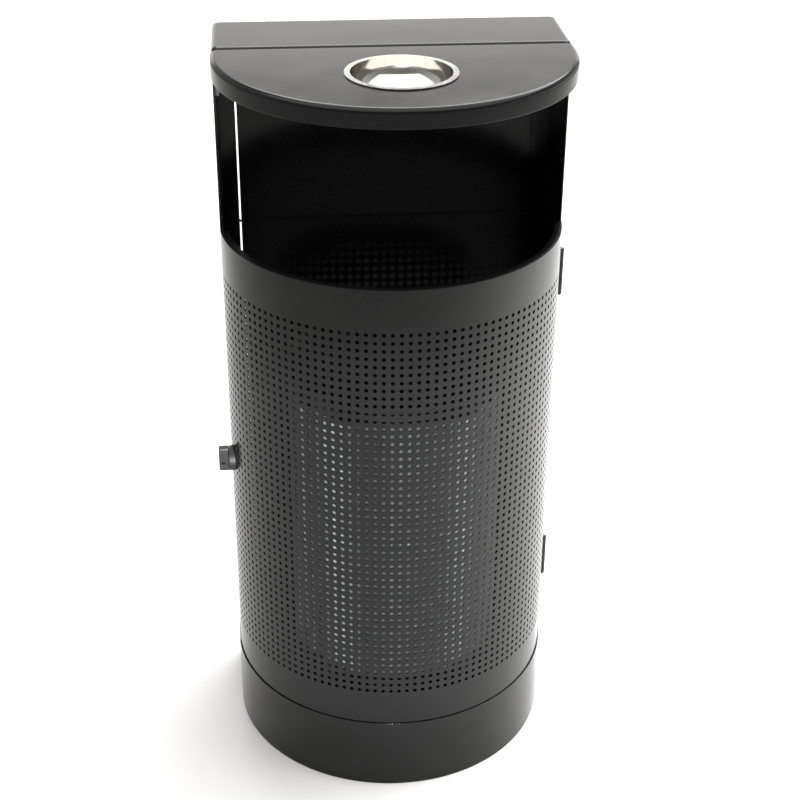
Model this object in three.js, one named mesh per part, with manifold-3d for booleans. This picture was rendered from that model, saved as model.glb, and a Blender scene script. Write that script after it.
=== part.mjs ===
// Half-round outdoor litter bin with an ash bowl, built from folded and rolled sheet steel.
// Millimetres, +Z up. Origin: centre of the seam plane on the ground. The door faces -Y.
import * as THREE from 'three';
import { mergeVertices } from 'three/addons/utils/BufferGeometryUtils.js';
import Module from 'manifold-3d';

const wasm = await Module();
wasm.setup();

// ---------------------------------------------------------------- driving dimensions
const GAP = 0.3;                 // clearance left between pieces that touch
const HEIGHT = 924;              // ground to lid top
const HOOD_HEIGHT = 22;          // depth of the lid's and the cap's skirts
const SHEET = 2;                 // frame and hood sheet
const DOOR_SHEET = 1.5;          // door sheet
const BODY_HALF = 204;           // half width over the side walls
const BODY_BACK = 112;           // rear face of the body
const ARC_CENTRE_Y = 20.5;       // centre of the door's arc, behind the seam plane
const DOOR_RADIUS = 205;         // outside of the door skin
const DOOR_TOP = 706;            // upper edge of the door
const PLINTH_TOP = 100;          // upper edge of the plinth ring
const PLINTH_RADIUS = 206.5;     // outside of the plinth ring
const PLINTH_HALF = 205.7;       // half width of the plinth ring
const BASE_PLATE = 3;            // thickness of the anchor plate inside it
const ANCHOR_RADIUS = 6;         // ground anchor holes in the plate
const ANCHOR_POINTS = [[-120, -60], [120, -60], [-120, 70], [120, 70]];
const LID_HALF = 205;            // half width of the lid
const LID_STRAIGHT = 22;         // straight stretch of the lid's sides
const LID_ARC_DEPTH = 201;       // depth of the lid's half-elliptic front
const HOOD_EDGE_RADIUS = 6;      // bend radius round the hood's top edge
const HOOD_CORNER = 5;           // plan radius of the hoods' square corners
const SEAM_HALF = 0.9;           // half the gap between the lid and the cap
const BOLT_RADIUS = 3;           // M6 bolts, their holes and heads
const BOLT_HOLE = 3.3;
const BOLT_HEAD = 5.5;
const BOWL_Y = -102.6;           // centre of the ash bowl
const BOWL_RIM_RADIUS = 61.7;    // outside of the bowl's rim
const BOWL_BODY_RADIUS = 56.5;   // bowl body where it passes the lid
const BOWL_DEPTH = 40;
const BOWL_SHEET = 1.2;
const LINER_Y = -45;             // centre of the liner
const LINER_RADIUS = 132;
const LINER_SHEET = 1.2;
const LINER_TOP = 550;
const SHELF_Z = 155;             // upper face of the shelf that carries the liner
const LOCATOR_TOP = 170;         // upper edge of the ring that keeps the liner in place
const RIM_BAND = 20;             // height of the liner's dark rim band
const HINGE_X = 205.4;           // door hinge axis
const HINGE_Y = 0;
const HINGE_HEIGHT = 60;
const HINGE_CENTRES = { upper: 640, lower: 223 };
const BARREL_RADIUS = 4;
const PIN_RADIUS = 2;
const LATCH_Y = -16;             // latch axis, level with the middle of the door
const LATCH_Z = 403;
const STRIKER_REACH = 28;        // latch axis to striker stud
const ARC_STEPS = 24;

// ---------------------------------------------------------------- finishes
const finish = (name, color, roughness, metalness) =>
  new THREE.MeshStandardMaterial({ name, color, roughness, metalness });
const POWDER = finish('charcoal_powder_coat', 0x2d2e2e, 0.35, 0.1);
const STAINLESS = finish('polished_stainless', 0xcfc9c0, 0.15, 1);
const GALVANISED = finish('galvanised_steel', 0xc9cbcc, 0.4, 1);
const ZINC = finish('zinc_plated_steel', 0x8d9096, 0.35, 1);
const BLACK_PLASTIC = finish('black_nylon', 0x232325, 0.5, 0);
const BAND_BLACK = finish('black_rubber_band', 0x1b1b1c, 0.8, 0);

const bin = new THREE.Group();
bin.name = 'litter_bin';

// ---------------------------------------------------------------- solids
function toSolid(geometry) {
  const bare = geometry.clone();
  bare.deleteAttribute('normal');
  bare.deleteAttribute('uv');
  const merged = mergeVertices(bare, 1e-4);
  const mesh = new wasm.Mesh({
    numProp: 3,
    vertProperties: new Float32Array(merged.attributes.position.array),
    triVerts: new Uint32Array(merged.index.array),
  });
  return new wasm.Manifold(mesh);
}

function toGeometry(solid) {
  const mesh = solid.getMesh();
  const geometry = new THREE.BufferGeometry();
  geometry.setAttribute('position', new THREE.BufferAttribute(new Float32Array(mesh.vertProperties), 3));
  geometry.setIndex(new THREE.BufferAttribute(new Uint32Array(mesh.triVerts), 1));
  const flat = geometry.toNonIndexed();
  flat.computeVertexNormals();
  return flat;
}

const union = (...solids) => solids.reduce((sum, next) => sum.add(next));
const cut = (solid, ...tools) => tools.reduce((left, tool) => left.subtract(tool), solid);

function addPiece(name, solid, material) {
  const mesh = new THREE.Mesh(toGeometry(solid), material);
  mesh.name = name;
  bin.add(mesh);
}

function box(x0, x1, y0, y1, z0, z1) {
  const geometry = new THREE.BoxGeometry(x1 - x0, y1 - y0, z1 - z0);
  geometry.translate((x0 + x1) / 2, (y0 + y1) / 2, (z0 + z1) / 2);
  return toSolid(geometry);
}

const AXIS_TURNS = { x: [0, 0, Math.PI / 2], y: [0, 0, 0], z: [Math.PI / 2, 0, 0] };

// A cylinder along one axis, from start to end on that axis, centred on the other two coordinates.
function rod(axis, radius, start, end, a, b, sides = 16) {
  const geometry = new THREE.CylinderGeometry(radius, radius, end - start, sides);
  geometry.applyMatrix4(new THREE.Matrix4().makeRotationFromEuler(new THREE.Euler(...AXIS_TURNS[axis])));
  const middle = (start + end) / 2;
  const centre = { x: [middle, a, b], y: [a, middle, b], z: [a, b, middle] }[axis];
  geometry.translate(...centre);
  return toSolid(geometry);
}

// The outline as straight steps, with points that fall on one another taken out.
function stepped(shape, steps = ARC_STEPS) {
  const kept = [];
  for (const point of shape.getPoints(steps)) {
    if (!kept.length || kept[kept.length - 1].distanceTo(point) > 1e-3) kept.push(point);
  }
  if (kept[0].distanceTo(kept[kept.length - 1]) < 1e-3) kept.pop();
  return new THREE.Shape(kept);
}

function extrudeUp(shape, z0, z1, steps = ARC_STEPS) {
  const geometry = new THREE.ExtrudeGeometry(stepped(shape, steps), { depth: z1 - z0, bevelEnabled: false });
  geometry.translate(0, 0, z0);
  return toSolid(geometry);
}

function lathe(points, sides, x = 0, y = 0) {
  const profile = points.map(([radius, z]) => new THREE.Vector2(radius, z));
  const geometry = new THREE.LatheGeometry(profile, sides);
  geometry.rotateX(Math.PI / 2);
  geometry.translate(x, y, 0);
  const solid = toSolid(geometry);
  return solid.volume() < 0 ? toSolid(flipped(geometry)) : solid;
}

function flipped(geometry) {
  const copy = geometry.clone();
  const index = copy.index.array;
  for (let i = 0; i < index.length; i += 3) [index[i], index[i + 1]] = [index[i + 1], index[i]];
  return copy;
}

// ---------------------------------------------------------------- plan outlines
// D outline of the body: arc front about the door's centre, straight sides, square back.
function bodyOutline(radius, half, back) {
  const reach = Math.acos(half / radius);
  const shape = new THREE.Shape();
  shape.moveTo(half, back);
  shape.lineTo(half, ARC_CENTRE_Y - radius * Math.sin(reach));
  shape.absarc(0, ARC_CENTRE_Y, radius, -reach, -Math.PI + reach, true);
  shape.lineTo(-half, back);
  shape.closePath();
  return shape;
}

// Closed strip between two radii of the door's arc, ending on the plane y = endY.
function arcStrip(outer, inner, endY) {
  const reachOf = (radius) => Math.asin((ARC_CENTRE_Y - endY) / radius);
  const [a, b] = [reachOf(outer), reachOf(inner)];
  const shape = new THREE.Shape();
  shape.absarc(0, ARC_CENTRE_Y, outer, -a, -Math.PI + a, true);
  shape.absarc(0, ARC_CENTRE_Y, inner, -Math.PI + b, -b, false);
  shape.closePath();
  return shape;
}

// Small corner arc in a few straight steps.
function corner(shape, x, y, radius, from, to) {
  const steps = 4;
  for (let i = 0; i <= steps; i += 1) {
    const angle = from + (to - from) * (i / steps);
    shape.lineTo(x + radius * Math.cos(angle), y + radius * Math.sin(angle));
  }
}

// D outline of the lid, drawn inset by the given amount, with rounded rear corners.
function lidOutline(inset, back, radius) {
  const half = LID_HALF - inset;
  const rear = back - inset;
  const shape = new THREE.Shape();
  shape.moveTo(half - radius, rear);
  corner(shape, half - radius, rear - radius, radius, Math.PI / 2, 0);
  shape.lineTo(half, -LID_STRAIGHT);
  shape.absellipse(0, -LID_STRAIGHT, half, LID_ARC_DEPTH - inset, 0, -Math.PI, true);
  corner(shape, -half + radius, rear - radius, radius, Math.PI, Math.PI / 2);
  shape.closePath();
  return shape;
}

function roundedBox(x0, x1, y0, y1, radius) {
  const shape = new THREE.Shape();
  const right = Math.PI / 2;
  shape.moveTo(x0 + radius, y0);
  corner(shape, x1 - radius, y0 + radius, radius, -right, 0);
  corner(shape, x1 - radius, y1 - radius, radius, 0, right);
  corner(shape, x0 + radius, y1 - radius, radius, right, 2 * right);
  corner(shape, x0 + radius, y0 + radius, radius, 2 * right, 3 * right);
  shape.closePath();
  return shape;
}

// Solid through a stack of outlines that all have the same number of points, lowest first.
function loft(rings) {
  const count = rings[0].points.length;
  const positions = rings.flatMap(({ points, z }) => points.flatMap((p) => [p.x, p.y, z]));
  const index = [];
  const last = (rings.length - 1) * count;
  for (let ring = 0; ring < rings.length - 1; ring += 1) {
    for (let i = 0; i < count; i += 1) {
      const [a, b] = [ring * count + i, ring * count + ((i + 1) % count)];
      index.push(a, b, b + count, a, b + count, a + count);
    }
  }
  for (const [a, b, c] of THREE.ShapeUtils.triangulateShape(rings[0].points, [])) index.push(c, b, a);
  for (const [a, b, c] of THREE.ShapeUtils.triangulateShape(rings[rings.length - 1].points, [])) {
    index.push(last + a, last + b, last + c);
  }
  const geometry = new THREE.BufferGeometry();
  geometry.setAttribute('position', new THREE.BufferAttribute(new Float32Array(positions), 3));
  geometry.setIndex(index);
  return toSolid(geometry);
}

// Prism from z0 to z1 whose upper edge is rounded; outlineAt(inset) draws its outline.
function roundTopPrism(outlineAt, inset, z0, z1, radius) {
  const steps = 4;
  const ringAt = (extra, z) => {
    const points = stepped(outlineAt(inset + extra)).getPoints();
    return { points: THREE.ShapeUtils.isClockWise(points) ? points.reverse() : points, z };
  };
  const rings = [ringAt(0, z0)];
  for (let i = 0; i <= steps; i += 1) {
    const angle = (Math.PI / 2) * (i / steps);
    rings.push(ringAt(radius * (1 - Math.cos(angle)), z1 - radius * (1 - Math.sin(angle))));
  }
  return loft(rings);
}

// Folded tray with an open underside and a rounded top edge.
function hood(outlineAt) {
  const low = HEIGHT - HOOD_HEIGHT;
  const outer = roundTopPrism(outlineAt, 0, low, HEIGHT, HOOD_EDGE_RADIUS);
  const inner = roundTopPrism(outlineAt, SHEET, low - 1, HEIGHT - SHEET, HOOD_EDGE_RADIUS - SHEET);
  return cut(outer, inner);
}

// ---------------------------------------------------------------- plinth and frame
function buildPlinth() {
  const outer = extrudeUp(bodyOutline(PLINTH_RADIUS, PLINTH_HALF, BODY_BACK), 0, PLINTH_TOP);
  const hollow = bodyOutline(PLINTH_RADIUS - SHEET, PLINTH_HALF - SHEET, BODY_BACK - SHEET);
  addPiece('plinth_ring', cut(outer, extrudeUp(hollow, -1, PLINTH_TOP + 1)), POWDER);

  const inset = SHEET + GAP;
  const plate = bodyOutline(PLINTH_RADIUS - inset, PLINTH_HALF - inset, BODY_BACK - inset);
  const anchorHoles = ANCHOR_POINTS.map(([x, y]) => rod('z', ANCHOR_RADIUS, -1, BASE_PLATE + 1, x, y));
  addPiece('base_plate', cut(extrudeUp(plate, 0, BASE_PLATE), ...anchorHoles), POWDER);
}

const WALL_BOTTOM = PLINTH_TOP + GAP;
const WALL_TOP = HEIGHT - HOOD_HEIGHT - GAP;
const WALL_FRONT = 1;
const REAR_FLANGE = 22;

// Side wall: a flat sheet with a rear flange folded inwards and a notch at each hinge.
function buildSideWall(name, side) {
  const shape = new THREE.Shape();
  const outerX = side * BODY_HALF;
  const innerX = side * (BODY_HALF - SHEET);
  const flangeX = side * (BODY_HALF - REAR_FLANGE);
  const points = [
    [outerX, WALL_FRONT], [outerX, BODY_BACK], [flangeX, BODY_BACK],
    [flangeX, BODY_BACK - SHEET], [innerX, BODY_BACK - SHEET], [innerX, WALL_FRONT],
  ];
  shape.setFromPoints((side > 0 ? points : points.reverse()).map(([x, y]) => new THREE.Vector2(x, y)));
  let wall = extrudeUp(shape, WALL_BOTTOM, WALL_TOP);
  if (side > 0) wall = cut(wall, ...hingeNotches(WALL_FRONT - 1, BARREL_RADIUS + 1));
  addPiece(name, wall, POWDER);
}

// Room round each hinge barrel, cut out of the sheet next to it.
function hingeNotches(y0, y1) {
  return Object.values(HINGE_CENTRES).map((z) => box(
    HINGE_X - BARREL_RADIUS - 2.4, HINGE_X + 10, y0, y1,
    z - HINGE_HEIGHT / 2 - 3.2, z + HINGE_HEIGHT / 2 + 3.2));
}

const PANEL_SLIT = 2;            // open slit left of the back panel, which is pushed up to the right flange
const STRAP_LEVELS = [150, 330, 520, 673];
const STRAP_HEIGHT = 3;

// Back panel between the rear flanges, tied to both by narrow straps across its inner face.
function buildBack() {
  const flangeEdge = BODY_HALF - REAR_FLANGE;
  const panel = box(
    -flangeEdge + PANEL_SLIT, flangeEdge - GAP, BODY_BACK - DOOR_SHEET, BODY_BACK, WALL_BOTTOM, WALL_TOP);
  addPiece('back_panel', panel, POWDER);
  const front = BODY_BACK - SHEET - GAP;
  const reach = flangeEdge + 14;
  STRAP_LEVELS.forEach((z, i) => {
    addPiece(`back_strap_${i + 1}`, box(
      -reach, reach, front - SHEET, front, z - STRAP_HEIGHT / 2, z + STRAP_HEIGHT / 2), POWDER);
  });
}

// ---------------------------------------------------------------- lid, cap and ash bowl
function buildHoods() {
  const lid = hood((inset) => lidOutline(inset, -SEAM_HALF, HOOD_CORNER));
  const bowlHole = rod('z', BOWL_BODY_RADIUS + 1, HEIGHT - 30, HEIGHT + 10, 0, BOWL_Y, 48);
  const lidBolts = SEAM_BOLT_X.map((x) => rod('y', BOLT_HOLE, -10, 10, x, SEAM_BOLT_Z));
  addPiece('lid', cut(lid, bowlHole, ...lidBolts), POWDER);

  const capShape = (inset) => roundedBox(
    -BODY_HALF + inset, BODY_HALF - inset, SEAM_HALF + inset, BODY_BACK - inset, HOOD_CORNER);
  addPiece('rear_cap', cut(hood(capShape), ...lidBolts), POWDER);

  const bar = box(-190, 190, -0.6, 0.6, SEAM_BOLT_Z - 8, SEAM_BOLT_Z + 8);
  addPiece('seam_spacer_bar', cut(bar, ...lidBolts), ZINC);
  SEAM_BOLT_X.forEach((x, i) => {
    const inside = SEAM_HALF + SHEET + GAP;
    addPiece(`seam_bolt_${i + 1}`, union(
      rod('y', BOLT_RADIUS, -inside - 1, 9, x, SEAM_BOLT_Z, 16),
      rod('y', BOLT_HEAD, -inside - 4, -inside, x, SEAM_BOLT_Z, 6)), ZINC);
    addPiece(`seam_nut_${i + 1}`, cut(
      rod('y', BOLT_HEAD, inside, inside + 4.5, x, SEAM_BOLT_Z, 6),
      rod('y', BOLT_HOLE, 0, 20, x, SEAM_BOLT_Z, 16)), ZINC);
  });
}

const SEAM_BOLT_X = [-165, -60, 60, 165];
const SEAM_BOLT_Z = HEIGHT - 13;

const BRACKET_Y = [24, 92];
const BRACKET_BOLT_Y = [38, 78];
const BRACKET_BOLT_Z = HEIGHT - 46;
const BRACKET_SHEET = 4;

// Angle that hangs the cap on a side wall, with its two bolts.
function buildCapBracket(name, side) {
  const wallX = BODY_HALF - SHEET - GAP;
  const legZ = [HEIGHT - 62, HEIGHT - SHEET - GAP];
  const x = (a, b) => (side > 0 ? [a, b] : [-b, -a]);
  const reach = x(wallX - 20, wallX + 20);
  const holes = BRACKET_BOLT_Y.map((y) => rod('x', BOLT_HOLE, ...reach, y, BRACKET_BOLT_Z));
  const bendRelief = box(...x(wallX - 3, wallX + 1), 0, 200, legZ[1] - 3, HEIGHT);
  const bracket = cut(union(
    box(...x(wallX - BRACKET_SHEET, wallX), ...BRACKET_Y, ...legZ),
    box(...x(wallX - 26, wallX), ...BRACKET_Y, legZ[1] - BRACKET_SHEET, legZ[1])), ...holes, bendRelief);
  addPiece(name, bracket, ZINC);
}

// Bolts through the side walls that carry the cap brackets, with their low heads inside the bin.
function buildBracketBolts(sideName, side) {
  const face = BODY_HALF - SHEET - GAP - BRACKET_SHEET - GAP;
  const x = (a, b) => (side > 0 ? [a, b] : [-b, -a]);
  BRACKET_BOLT_Y.forEach((y, i) => {
    addPiece(`cap_bracket_bolt_${sideName}_${i + 1}`, union(
      rod('x', BOLT_RADIUS, ...x(face - 1, BODY_HALF - SHEET - GAP), y, BRACKET_BOLT_Z, 16),
      rod('x', BOLT_HEAD, ...x(face - 3.5, face), y, BRACKET_BOLT_Z, 16)), ZINC);
  });
}

const BOWL_SIDES = 48;

function buildAshBowl() {
  const top = HEIGHT + GAP + BOWL_SHEET;
  const bottom = top - BOWL_DEPTH;
  const profile = [[0, bottom]];
  const wallPoints = bowlCurve(BOWL_BODY_RADIUS, bottom, HEIGHT - 6);
  profile.push(...wallPoints);
  profile.push([BOWL_BODY_RADIUS, HEIGHT + GAP], [BOWL_RIM_RADIUS, HEIGHT + GAP], [BOWL_RIM_RADIUS, top]);
  profile.push([BOWL_BODY_RADIUS - BOWL_SHEET, top]);
  const inner = bowlCurve(BOWL_BODY_RADIUS - BOWL_SHEET, bottom + BOWL_SHEET, HEIGHT - 6).reverse();
  profile.push(...inner, [0, bottom + BOWL_SHEET]);
  const drain = rod('z', 3, bottom - 1, top, 38, BOWL_Y + 6, 16);
  addPiece('ash_bowl', cut(lathe(profile, BOWL_SIDES, 0, BOWL_Y), drain), STAINLESS);
}

// Quarter-ellipse wall of the bowl from its flat bottom up to the straight neck.
function bowlCurve(radius, zBottom, zTop) {
  const flat = 18;
  const steps = 6;
  const points = [];
  for (let i = 0; i <= steps; i += 1) {
    const angle = (Math.PI / 2) * (i / steps);
    points.push([flat + (radius - flat) * Math.sin(angle), zTop - (zTop - zBottom) * Math.cos(angle)]);
  }
  return points;
}

// ---------------------------------------------------------------- liner shelf
const PLATE_RADIUS = DOOR_RADIUS - 12;

// Flat plate across the body, clear of the door's inner rims, with side angles under it.
function innerPlate(radius, zTop) {
  const half = BODY_HALF - SHEET - GAP;
  const front = extrudeUp(bodyOutline(radius, radius * 0.995, 6), zTop - SHEET, zTop);
  const rear = box(-half, half, 6, BODY_BACK - 8, zTop - SHEET, zTop);
  return union(front, rear);
}

function buildAngle(name, side, zUnder) {
  const wallX = BODY_HALF - SHEET - GAP;
  const x = (a, b) => (side > 0 ? [a, b] : [-b, -a]);
  const top = zUnder - GAP;
  addPiece(name, union(
    box(...x(wallX - SHEET, wallX), 20, 96, top - 22, top),
    box(...x(wallX - 20, wallX), 20, 96, top - SHEET, top)), ZINC);
}

function buildAnglePair(name, zUnder) {
  buildAngle(`${name}_left`, -1, zUnder);
  buildAngle(`${name}_right`, 1, zUnder);
}

function buildLinerShelf() {
  addPiece('liner_shelf', innerPlate(PLATE_RADIUS, SHELF_Z), POWDER);
  buildAnglePair('shelf_angle', SHELF_Z - SHEET);
  const ringInner = LINER_RADIUS + 1.5;
  const ring = cut(
    rod('z', ringInner + SHEET, SHELF_Z + GAP, LOCATOR_TOP, 0, LINER_Y, 48),
    rod('z', ringInner, SHELF_Z - 1, LOCATOR_TOP + 1, 0, LINER_Y, 48));
  addPiece('liner_locating_ring', ring, POWDER);
}

// ---------------------------------------------------------------- door
const DOOR_BOTTOM = PLINTH_TOP + 1;
const DOOR_END_Y = -1;
const RIM_DEPTH = 8;
const STILE_WIDTH = 16;
const STILE_THICK = 2;

function buildDoor() {
  const inner = DOOR_RADIUS - DOOR_SHEET;
  const notches = hingeNotches(-BARREL_RADIUS - 1, 1);
  const latchHole = rod('x', 6, -BODY_HALF - 20, -BODY_HALF + 20, LATCH_Y, LATCH_Z);
  const skin = extrudeUp(arcStrip(DOOR_RADIUS, inner, DOOR_END_Y), DOOR_BOTTOM, DOOR_TOP);
  addPiece('door_skin', cut(skin, ...notches, latchHole), POWDER);

  const rimShape = () => arcStrip(inner - GAP, inner - RIM_DEPTH, DOOR_END_Y - 1);
  addPiece('door_top_rim', extrudeUp(rimShape(), DOOR_TOP - DOOR_SHEET, DOOR_TOP), POWDER);
  addPiece('door_bottom_rim', extrudeUp(rimShape(), DOOR_BOTTOM, DOOR_BOTTOM + DOOR_SHEET), POWDER);

  const strip = extrudeUp(arcStrip(inner - GAP, inner - GAP - STILE_THICK, DOOR_END_Y),
    DOOR_BOTTOM + DOOR_SHEET + GAP, DOOR_TOP - DOOR_SHEET - GAP);
  const endZone = (side) => (side > 0
    ? box(100, 300, DOOR_END_Y - STILE_WIDTH, 10, 0, HEIGHT)
    : box(-300, -100, DOOR_END_Y - STILE_WIDTH - 14, 10, 0, HEIGHT));
  addPiece('hinge_stile', cut(strip.intersect(endZone(1)), ...notches), POWDER);
  addPiece('latch_stile', cut(strip.intersect(endZone(-1)), latchHole), POWDER);
}

// Three-knuckle hinge: outer knuckles on the side wall, middle knuckle on the door.
function buildHinge(name, z) {
  const low = z - HINGE_HEIGHT / 2;
  const knuckle = HINGE_HEIGHT / 3;
  const bore = rod('z', PIN_RADIUS + 0.05, low - 5, low + HINGE_HEIGHT + 5, HINGE_X, HINGE_Y, 20);
  const wallFace = BODY_HALF - SHEET - GAP;
  const barrel = (i) => rod('z', BARREL_RADIUS, low + i * knuckle + (i ? GAP : 0),
    low + (i + 1) * knuckle - (i < 2 ? GAP : 0), HINGE_X, HINGE_Y, 20);
  const tab = (i) => box(wallFace - 1.8, HINGE_X - 1, 1.2, 3.0,
    low + i * knuckle + (i ? GAP : 0), low + (i + 1) * knuckle - (i < 2 ? GAP : 0));
  const plate = cut(
    box(wallFace - 1.8, wallFace, 1.2, 30, low, low + HINGE_HEIGHT),
    box(wallFace - 5, wallFace + 5, 0, 5.5, low + knuckle - GAP, low + 2 * knuckle + GAP));
  addPiece(`${name}_hinge_frame_leaf`, cut(union(barrel(0), barrel(2), tab(0), tab(2), plate), bore), ZINC);

  const doorFace = DOOR_RADIUS - DOOR_SHEET - STILE_THICK - 2 * GAP - 3.9;
  const midLow = low + knuckle + GAP;
  const midHigh = low + 2 * knuckle - GAP;
  const doorTab = box(doorFace - 1.8, HINGE_X - 1, -3.2, -1.4, midLow, midHigh);
  const doorPlate = box(doorFace - 1.8, doorFace, -18, -1.4, midLow - 8, midHigh + 8);
  addPiece(`${name}_hinge_door_leaf`, cut(union(barrel(1), doorTab, doorPlate), bore), ZINC);

  const tip = (from, to) => rod('z', 2.9, from, to, HINGE_X, HINGE_Y, 20);
  addPiece(`${name}_hinge_pin`, union(
    rod('z', PIN_RADIUS, low - 2.5, low + HINGE_HEIGHT + 2.5, HINGE_X, HINGE_Y, 20),
    tip(low - 2.5, low - GAP), tip(low + HINGE_HEIGHT + GAP, low + HINGE_HEIGHT + 2.5)), ZINC);
}

// ---------------------------------------------------------------- latch
const LATCH_BASE_OUT = BODY_HALF + 2.4;
const KNOB_OUT = LATCH_BASE_OUT + GAP + 13;

function buildLatch() {
  const bore = rod('x', 4.6, -BODY_HALF - 30, -BODY_HALF + 40, LATCH_Y, LATCH_Z);
  const doorClear = extrudeUp(bodyOutline(DOOR_RADIUS + GAP, DOOR_RADIUS * 0.998, 40), 0, HEIGHT);
  const neck = rod('x', 5.7, -BODY_HALF - 1, -BODY_HALF + 10, LATCH_Y, LATCH_Z);
  const plate = rod('x', 16, -LATCH_BASE_OUT, -BODY_HALF + 6, LATCH_Y, LATCH_Z, 32);
  const neckZone = box(-300, -196, -60, 30, 0, HEIGHT);
  const escutcheon = cut(union(cut(plate, doorClear), neck.intersect(neckZone)), bore);
  addPiece('latch_escutcheon', escutcheon, BLACK_PLASTIC);

  const knobZ = 16.5;
  const wing = box(
    -KNOB_OUT, -LATCH_BASE_OUT - GAP, LATCH_Y - 5, LATCH_Y + 5, LATCH_Z - knobZ, LATCH_Z + knobZ);
  const round = rod('x', knobZ, -KNOB_OUT, -LATCH_BASE_OUT - GAP, LATCH_Y, LATCH_Z, 32);
  const eye = rod('y', 2, LATCH_Y - 10, LATCH_Y + 10, -KNOB_OUT + 5.5, LATCH_Z - 5, 16);
  const spindle = rod('x', 4.3, -LATCH_BASE_OUT - 2, HOOK_X[1] + 0.2, LATCH_Y, LATCH_Z);
  const thread = rod('x', 2.9, HOOK_X[1] - 1, HOOK_X[1] + 6.5, LATCH_Y, LATCH_Z);
  addPiece('latch_knob', cut(union(wing.intersect(round), spindle, thread), eye), BLACK_PLASTIC);
  buildHook();
  addPiece('latch_nut', cut(
    rod('x', 5.5, HOOK_X[1] + 0.5, HOOK_X[1] + 4.5, LATCH_Y, LATCH_Z, 6),
    rod('x', 2.9 + GAP, -BODY_HALF, -BODY_HALF + 60, LATCH_Y, LATCH_Z)), ZINC);
}

const HOOK_X = [-194.5, -192];
const HOOK_SLOT = 5.2;           // half width of the hook's slot
const HOOK_LIP = 4.8;            // metal left outside the slot
const HOOK_RELIEF = 3.2;         // the slot's mouth widens inwards, because the stud enters on an arc

// Hook plate drawn upright, in its open position; a quarter turn brings it over the striker stud.
function buildHook() {
  const shape = new THREE.Shape();
  const slot = HOOK_SLOT;
  shape.moveTo(0, -9);
  shape.lineTo(STRIKER_REACH - slot - HOOK_RELIEF, -9);
  shape.lineTo(STRIKER_REACH - slot, 0);
  shape.absarc(STRIKER_REACH, 0, slot, Math.PI, 0, true);
  shape.lineTo(STRIKER_REACH + slot, -7);
  shape.lineTo(STRIKER_REACH + slot + HOOK_LIP, -4);
  shape.lineTo(STRIKER_REACH + slot + HOOK_LIP, 4);
  shape.absarc(STRIKER_REACH, 4, slot + HOOK_LIP, 0, Math.PI / 2, false);
  shape.lineTo(0, 9);
  shape.absarc(0, 0, 9, Math.PI / 2, Math.PI * 1.5, false);
  const geometry = new THREE.ExtrudeGeometry(stepped(shape, 10), {
    depth: HOOK_X[1] - HOOK_X[0], bevelEnabled: false });
  geometry.applyMatrix4(new THREE.Matrix4().set(
    0, 0, 1, HOOK_X[0],
    0, -1, 0, LATCH_Y,
    1, 0, 0, LATCH_Z,
    0, 0, 0, 1));
  const bore = rod('x', 4.3 + GAP, -BODY_HALF, -BODY_HALF + 60, LATCH_Y, LATCH_Z);
  addPiece('latch_hook', cut(toSolid(geometry), bore), ZINC);
}

function buildStriker() {
  const wallX = -BODY_HALF + SHEET + GAP;
  const y = LATCH_Y + STRIKER_REACH;
  addPiece('striker_stud', union(
    rod('x', 9, wallX, wallX + 2, y, LATCH_Z),
    rod('x', 4, wallX, HOOK_X[1] + 3, y, LATCH_Z),
    rod('x', 5.5, HOOK_X[1] + 1, HOOK_X[1] + 3, y, LATCH_Z)), ZINC);
}

// ---------------------------------------------------------------- liner
const LINER_BOTTOM = SHELF_Z + GAP;
const BEAD_LEVELS = [228, 298, 368];
const BEAD_OUT = 1.2;
const LINER_SIDES = 48;

function buildLiner() {
  const bandBottom = LINER_TOP - RIM_BAND;
  const outer = [];
  for (const z of BEAD_LEVELS) {
    outer.push([LINER_RADIUS - BEAD_OUT, z - 3], [LINER_RADIUS, z - 1], [LINER_RADIUS, z + 1],
      [LINER_RADIUS - BEAD_OUT, z + 3]);
  }
  const wallOut = LINER_RADIUS - BEAD_OUT;
  const wallIn = wallOut - LINER_SHEET;
  const profile = [[0, LINER_BOTTOM + 6], [wallIn - 8, LINER_BOTTOM + 6], [wallIn - 8, LINER_BOTTOM],
    [wallOut, LINER_BOTTOM], ...outer, [wallOut, LINER_TOP - 2], [wallIn, LINER_TOP - 2],
    [wallIn, LINER_BOTTOM + 6 + LINER_SHEET], [0, LINER_BOTTOM + 6 + LINER_SHEET]];
  addPiece('liner_drum', lathe(profile, LINER_SIDES, 0, LINER_Y), GALVANISED);

  const bandIn = wallOut + GAP;
  const bandOut = LINER_RADIUS + 1.6;
  const lip = LINER_RADIUS + 3;
  const band = lathe([[bandIn, bandBottom], [bandOut, bandBottom], [bandOut, LINER_TOP - 5],
    [lip, LINER_TOP - 3], [lip, LINER_TOP - 1], [bandOut, LINER_TOP], [bandIn, LINER_TOP],
    [bandIn, bandBottom]], LINER_SIDES, 0, LINER_Y);
  addPiece('liner_rim_band', band, BAND_BLACK);
}

const EAR_Z = LINER_TOP - 16;
const BAIL_RADIUS = 140;
const BAIL_WIRE = 2;

function buildBail() {
  const face = LINER_RADIUS + 1.6 + GAP;
  for (const [name, side] of [['liner_ear_left', -1], ['liner_ear_right', 1]]) {
    const x = (a, b) => (side > 0 ? [a, b] : [-b, -a]);
    const ear = union(
      box(...x(face, face + 1.5), LINER_Y - 9, LINER_Y + 9, EAR_Z - 9, EAR_Z + 9),
      rod('x', 5, ...x(face, face + 3.2), LINER_Y, EAR_Z));
    const eye = rod('x', BAIL_WIRE + 0.4, ...x(face - 1, face + 10), LINER_Y, EAR_Z, 16);
    addPiece(name, cut(ear, eye), GALVANISED);
  }
  addPiece('bail_handle', bailWire(face), ZINC);
}

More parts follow.
